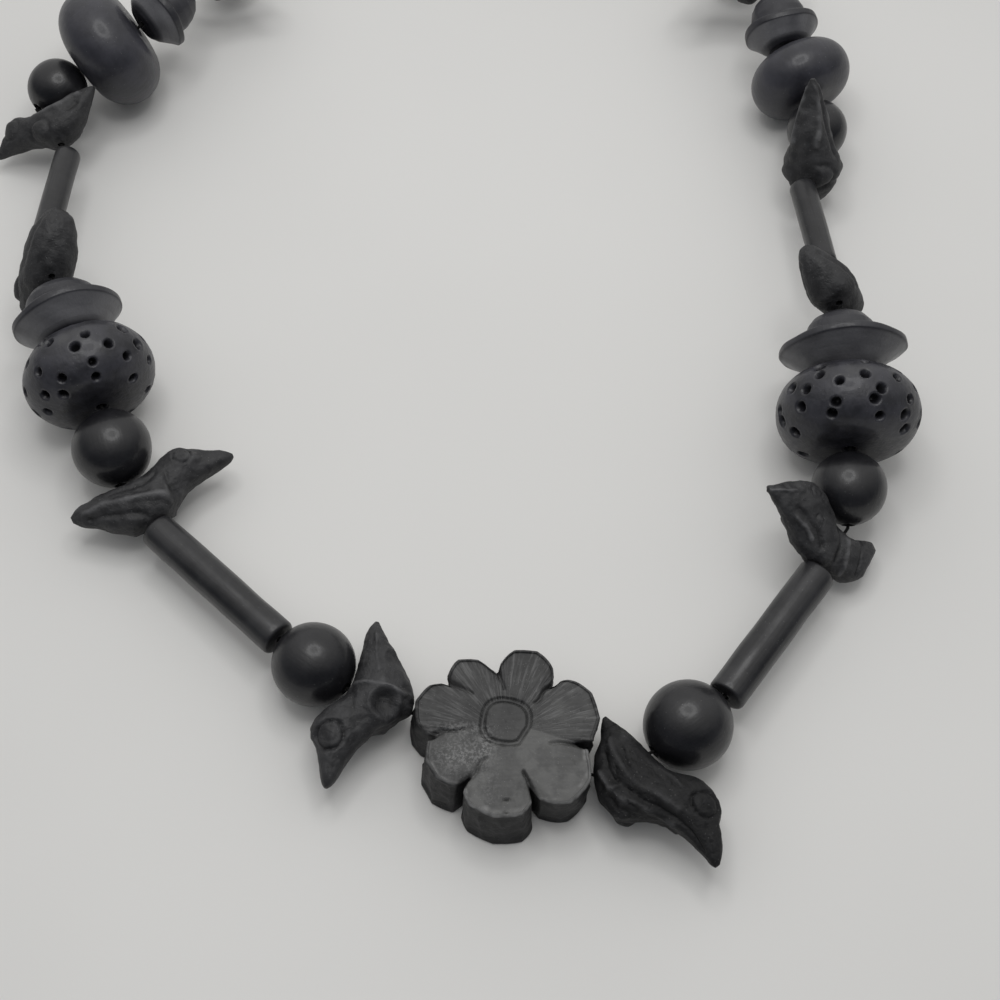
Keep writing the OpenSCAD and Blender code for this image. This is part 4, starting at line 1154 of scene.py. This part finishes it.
tableMesh = bpy.data.meshes.new("tableTop")
half, steps = tableSetup["size"] / 2, 24
spots = np.linspace(-half, half, steps + 1)
points = [(x, y, 0) for y in spots for x in spots]
corners = [r * (steps + 1) + c for r in range(steps) for c in range(steps)]
faces = [(k, k + 1, k + steps + 2, k + steps + 1) for k in corners]
tableMesh.from_pydata(points, [], faces)
tablePaint = bpy.data.materials.new("tablePaint")
tablePaint.use_nodes = True
tree = tablePaint.node_tree
shader = tree.nodes["Principled BSDF"]
vector = addNode(tree, "ShaderNodeTexCoord").outputs["Object"]
cloud = addNode(tree, "ShaderNodeTexNoise", {"Vector": vector, "Scale": 9.0, "Detail": 3.0})
pores = addNode(tree, "ShaderNodeTexNoise", {"Vector": vector, "Scale": 900.0, "Detail": 2.0})
clouded = fitted(tree, cloud.outputs[0], 0.3, 0.7)
tree.links.new(mixColours(tree, clouded, tableSetup["paint"], tableSetup["shade"]),
               shader.inputs["Base Color"])
shader.inputs["Roughness"].default_value = tableSetup["roughness"]
shader.inputs["Specular IOR Level"].default_value = tableSetup["specular"]
bump = addNode(tree, "ShaderNodeBump", {"Height": pores.outputs[0], "Strength": tableSetup["poreStrength"],
               "Distance": tableSetup["poreDepth"] * mm})
tree.links.new(bump.outputs[0], shader.inputs["Normal"])
tableMesh.materials.append(tablePaint)
tableTop = bpy.data.objects.new("tableTop", tableMesh)
bpy.context.scene.collection.objects.link(tableTop)

lampRing = Vector(lampSetup["centre"])
for k in range(lampSetup["count"]):
    lamp = bpy.data.lights.new("ringLamp", "AREA")
    lamp.shape = "DISK"
    lamp.size = lampSetup["diameter"] * mm
    lamp.energy = lampSetup["power"]
    holder = bpy.data.objects.new("ringLamp", lamp)
    angle = 2 * math.pi * k / lampSetup["count"]
    holder.location = (lampRing + lampSetup["ring"] * Vector((math.cos(angle), math.sin(angle), 0))) * mm
    bpy.context.scene.collection.objects.link(holder)

# the room is brighter behind the necklace than in front of it
world = bpy.data.worlds.new("room")
world.use_nodes = True
tree = world.node_tree
facing = addNode(tree, "ShaderNodeVectorMath", {0: addNode(tree, "ShaderNodeTexCoord").outputs["Generated"],
                 1: Vector(lampSetup["brightSide"]).normalized()}, operation="DOT_PRODUCT").outputs["Value"]
room = mixColours(tree, fitted(tree, facing, *lampSetup["fade"]), lampSetup["nearRoom"], lampSetup["farRoom"])
tree.links.new(room, tree.nodes["Background"].inputs["Color"])
tree.nodes["Background"].inputs["Strength"].default_value = lampSetup["roomStrength"]
bpy.context.scene.world = world
bpy.context.scene.view_settings.view_transform = "Standard"
print("table and lamps ready")
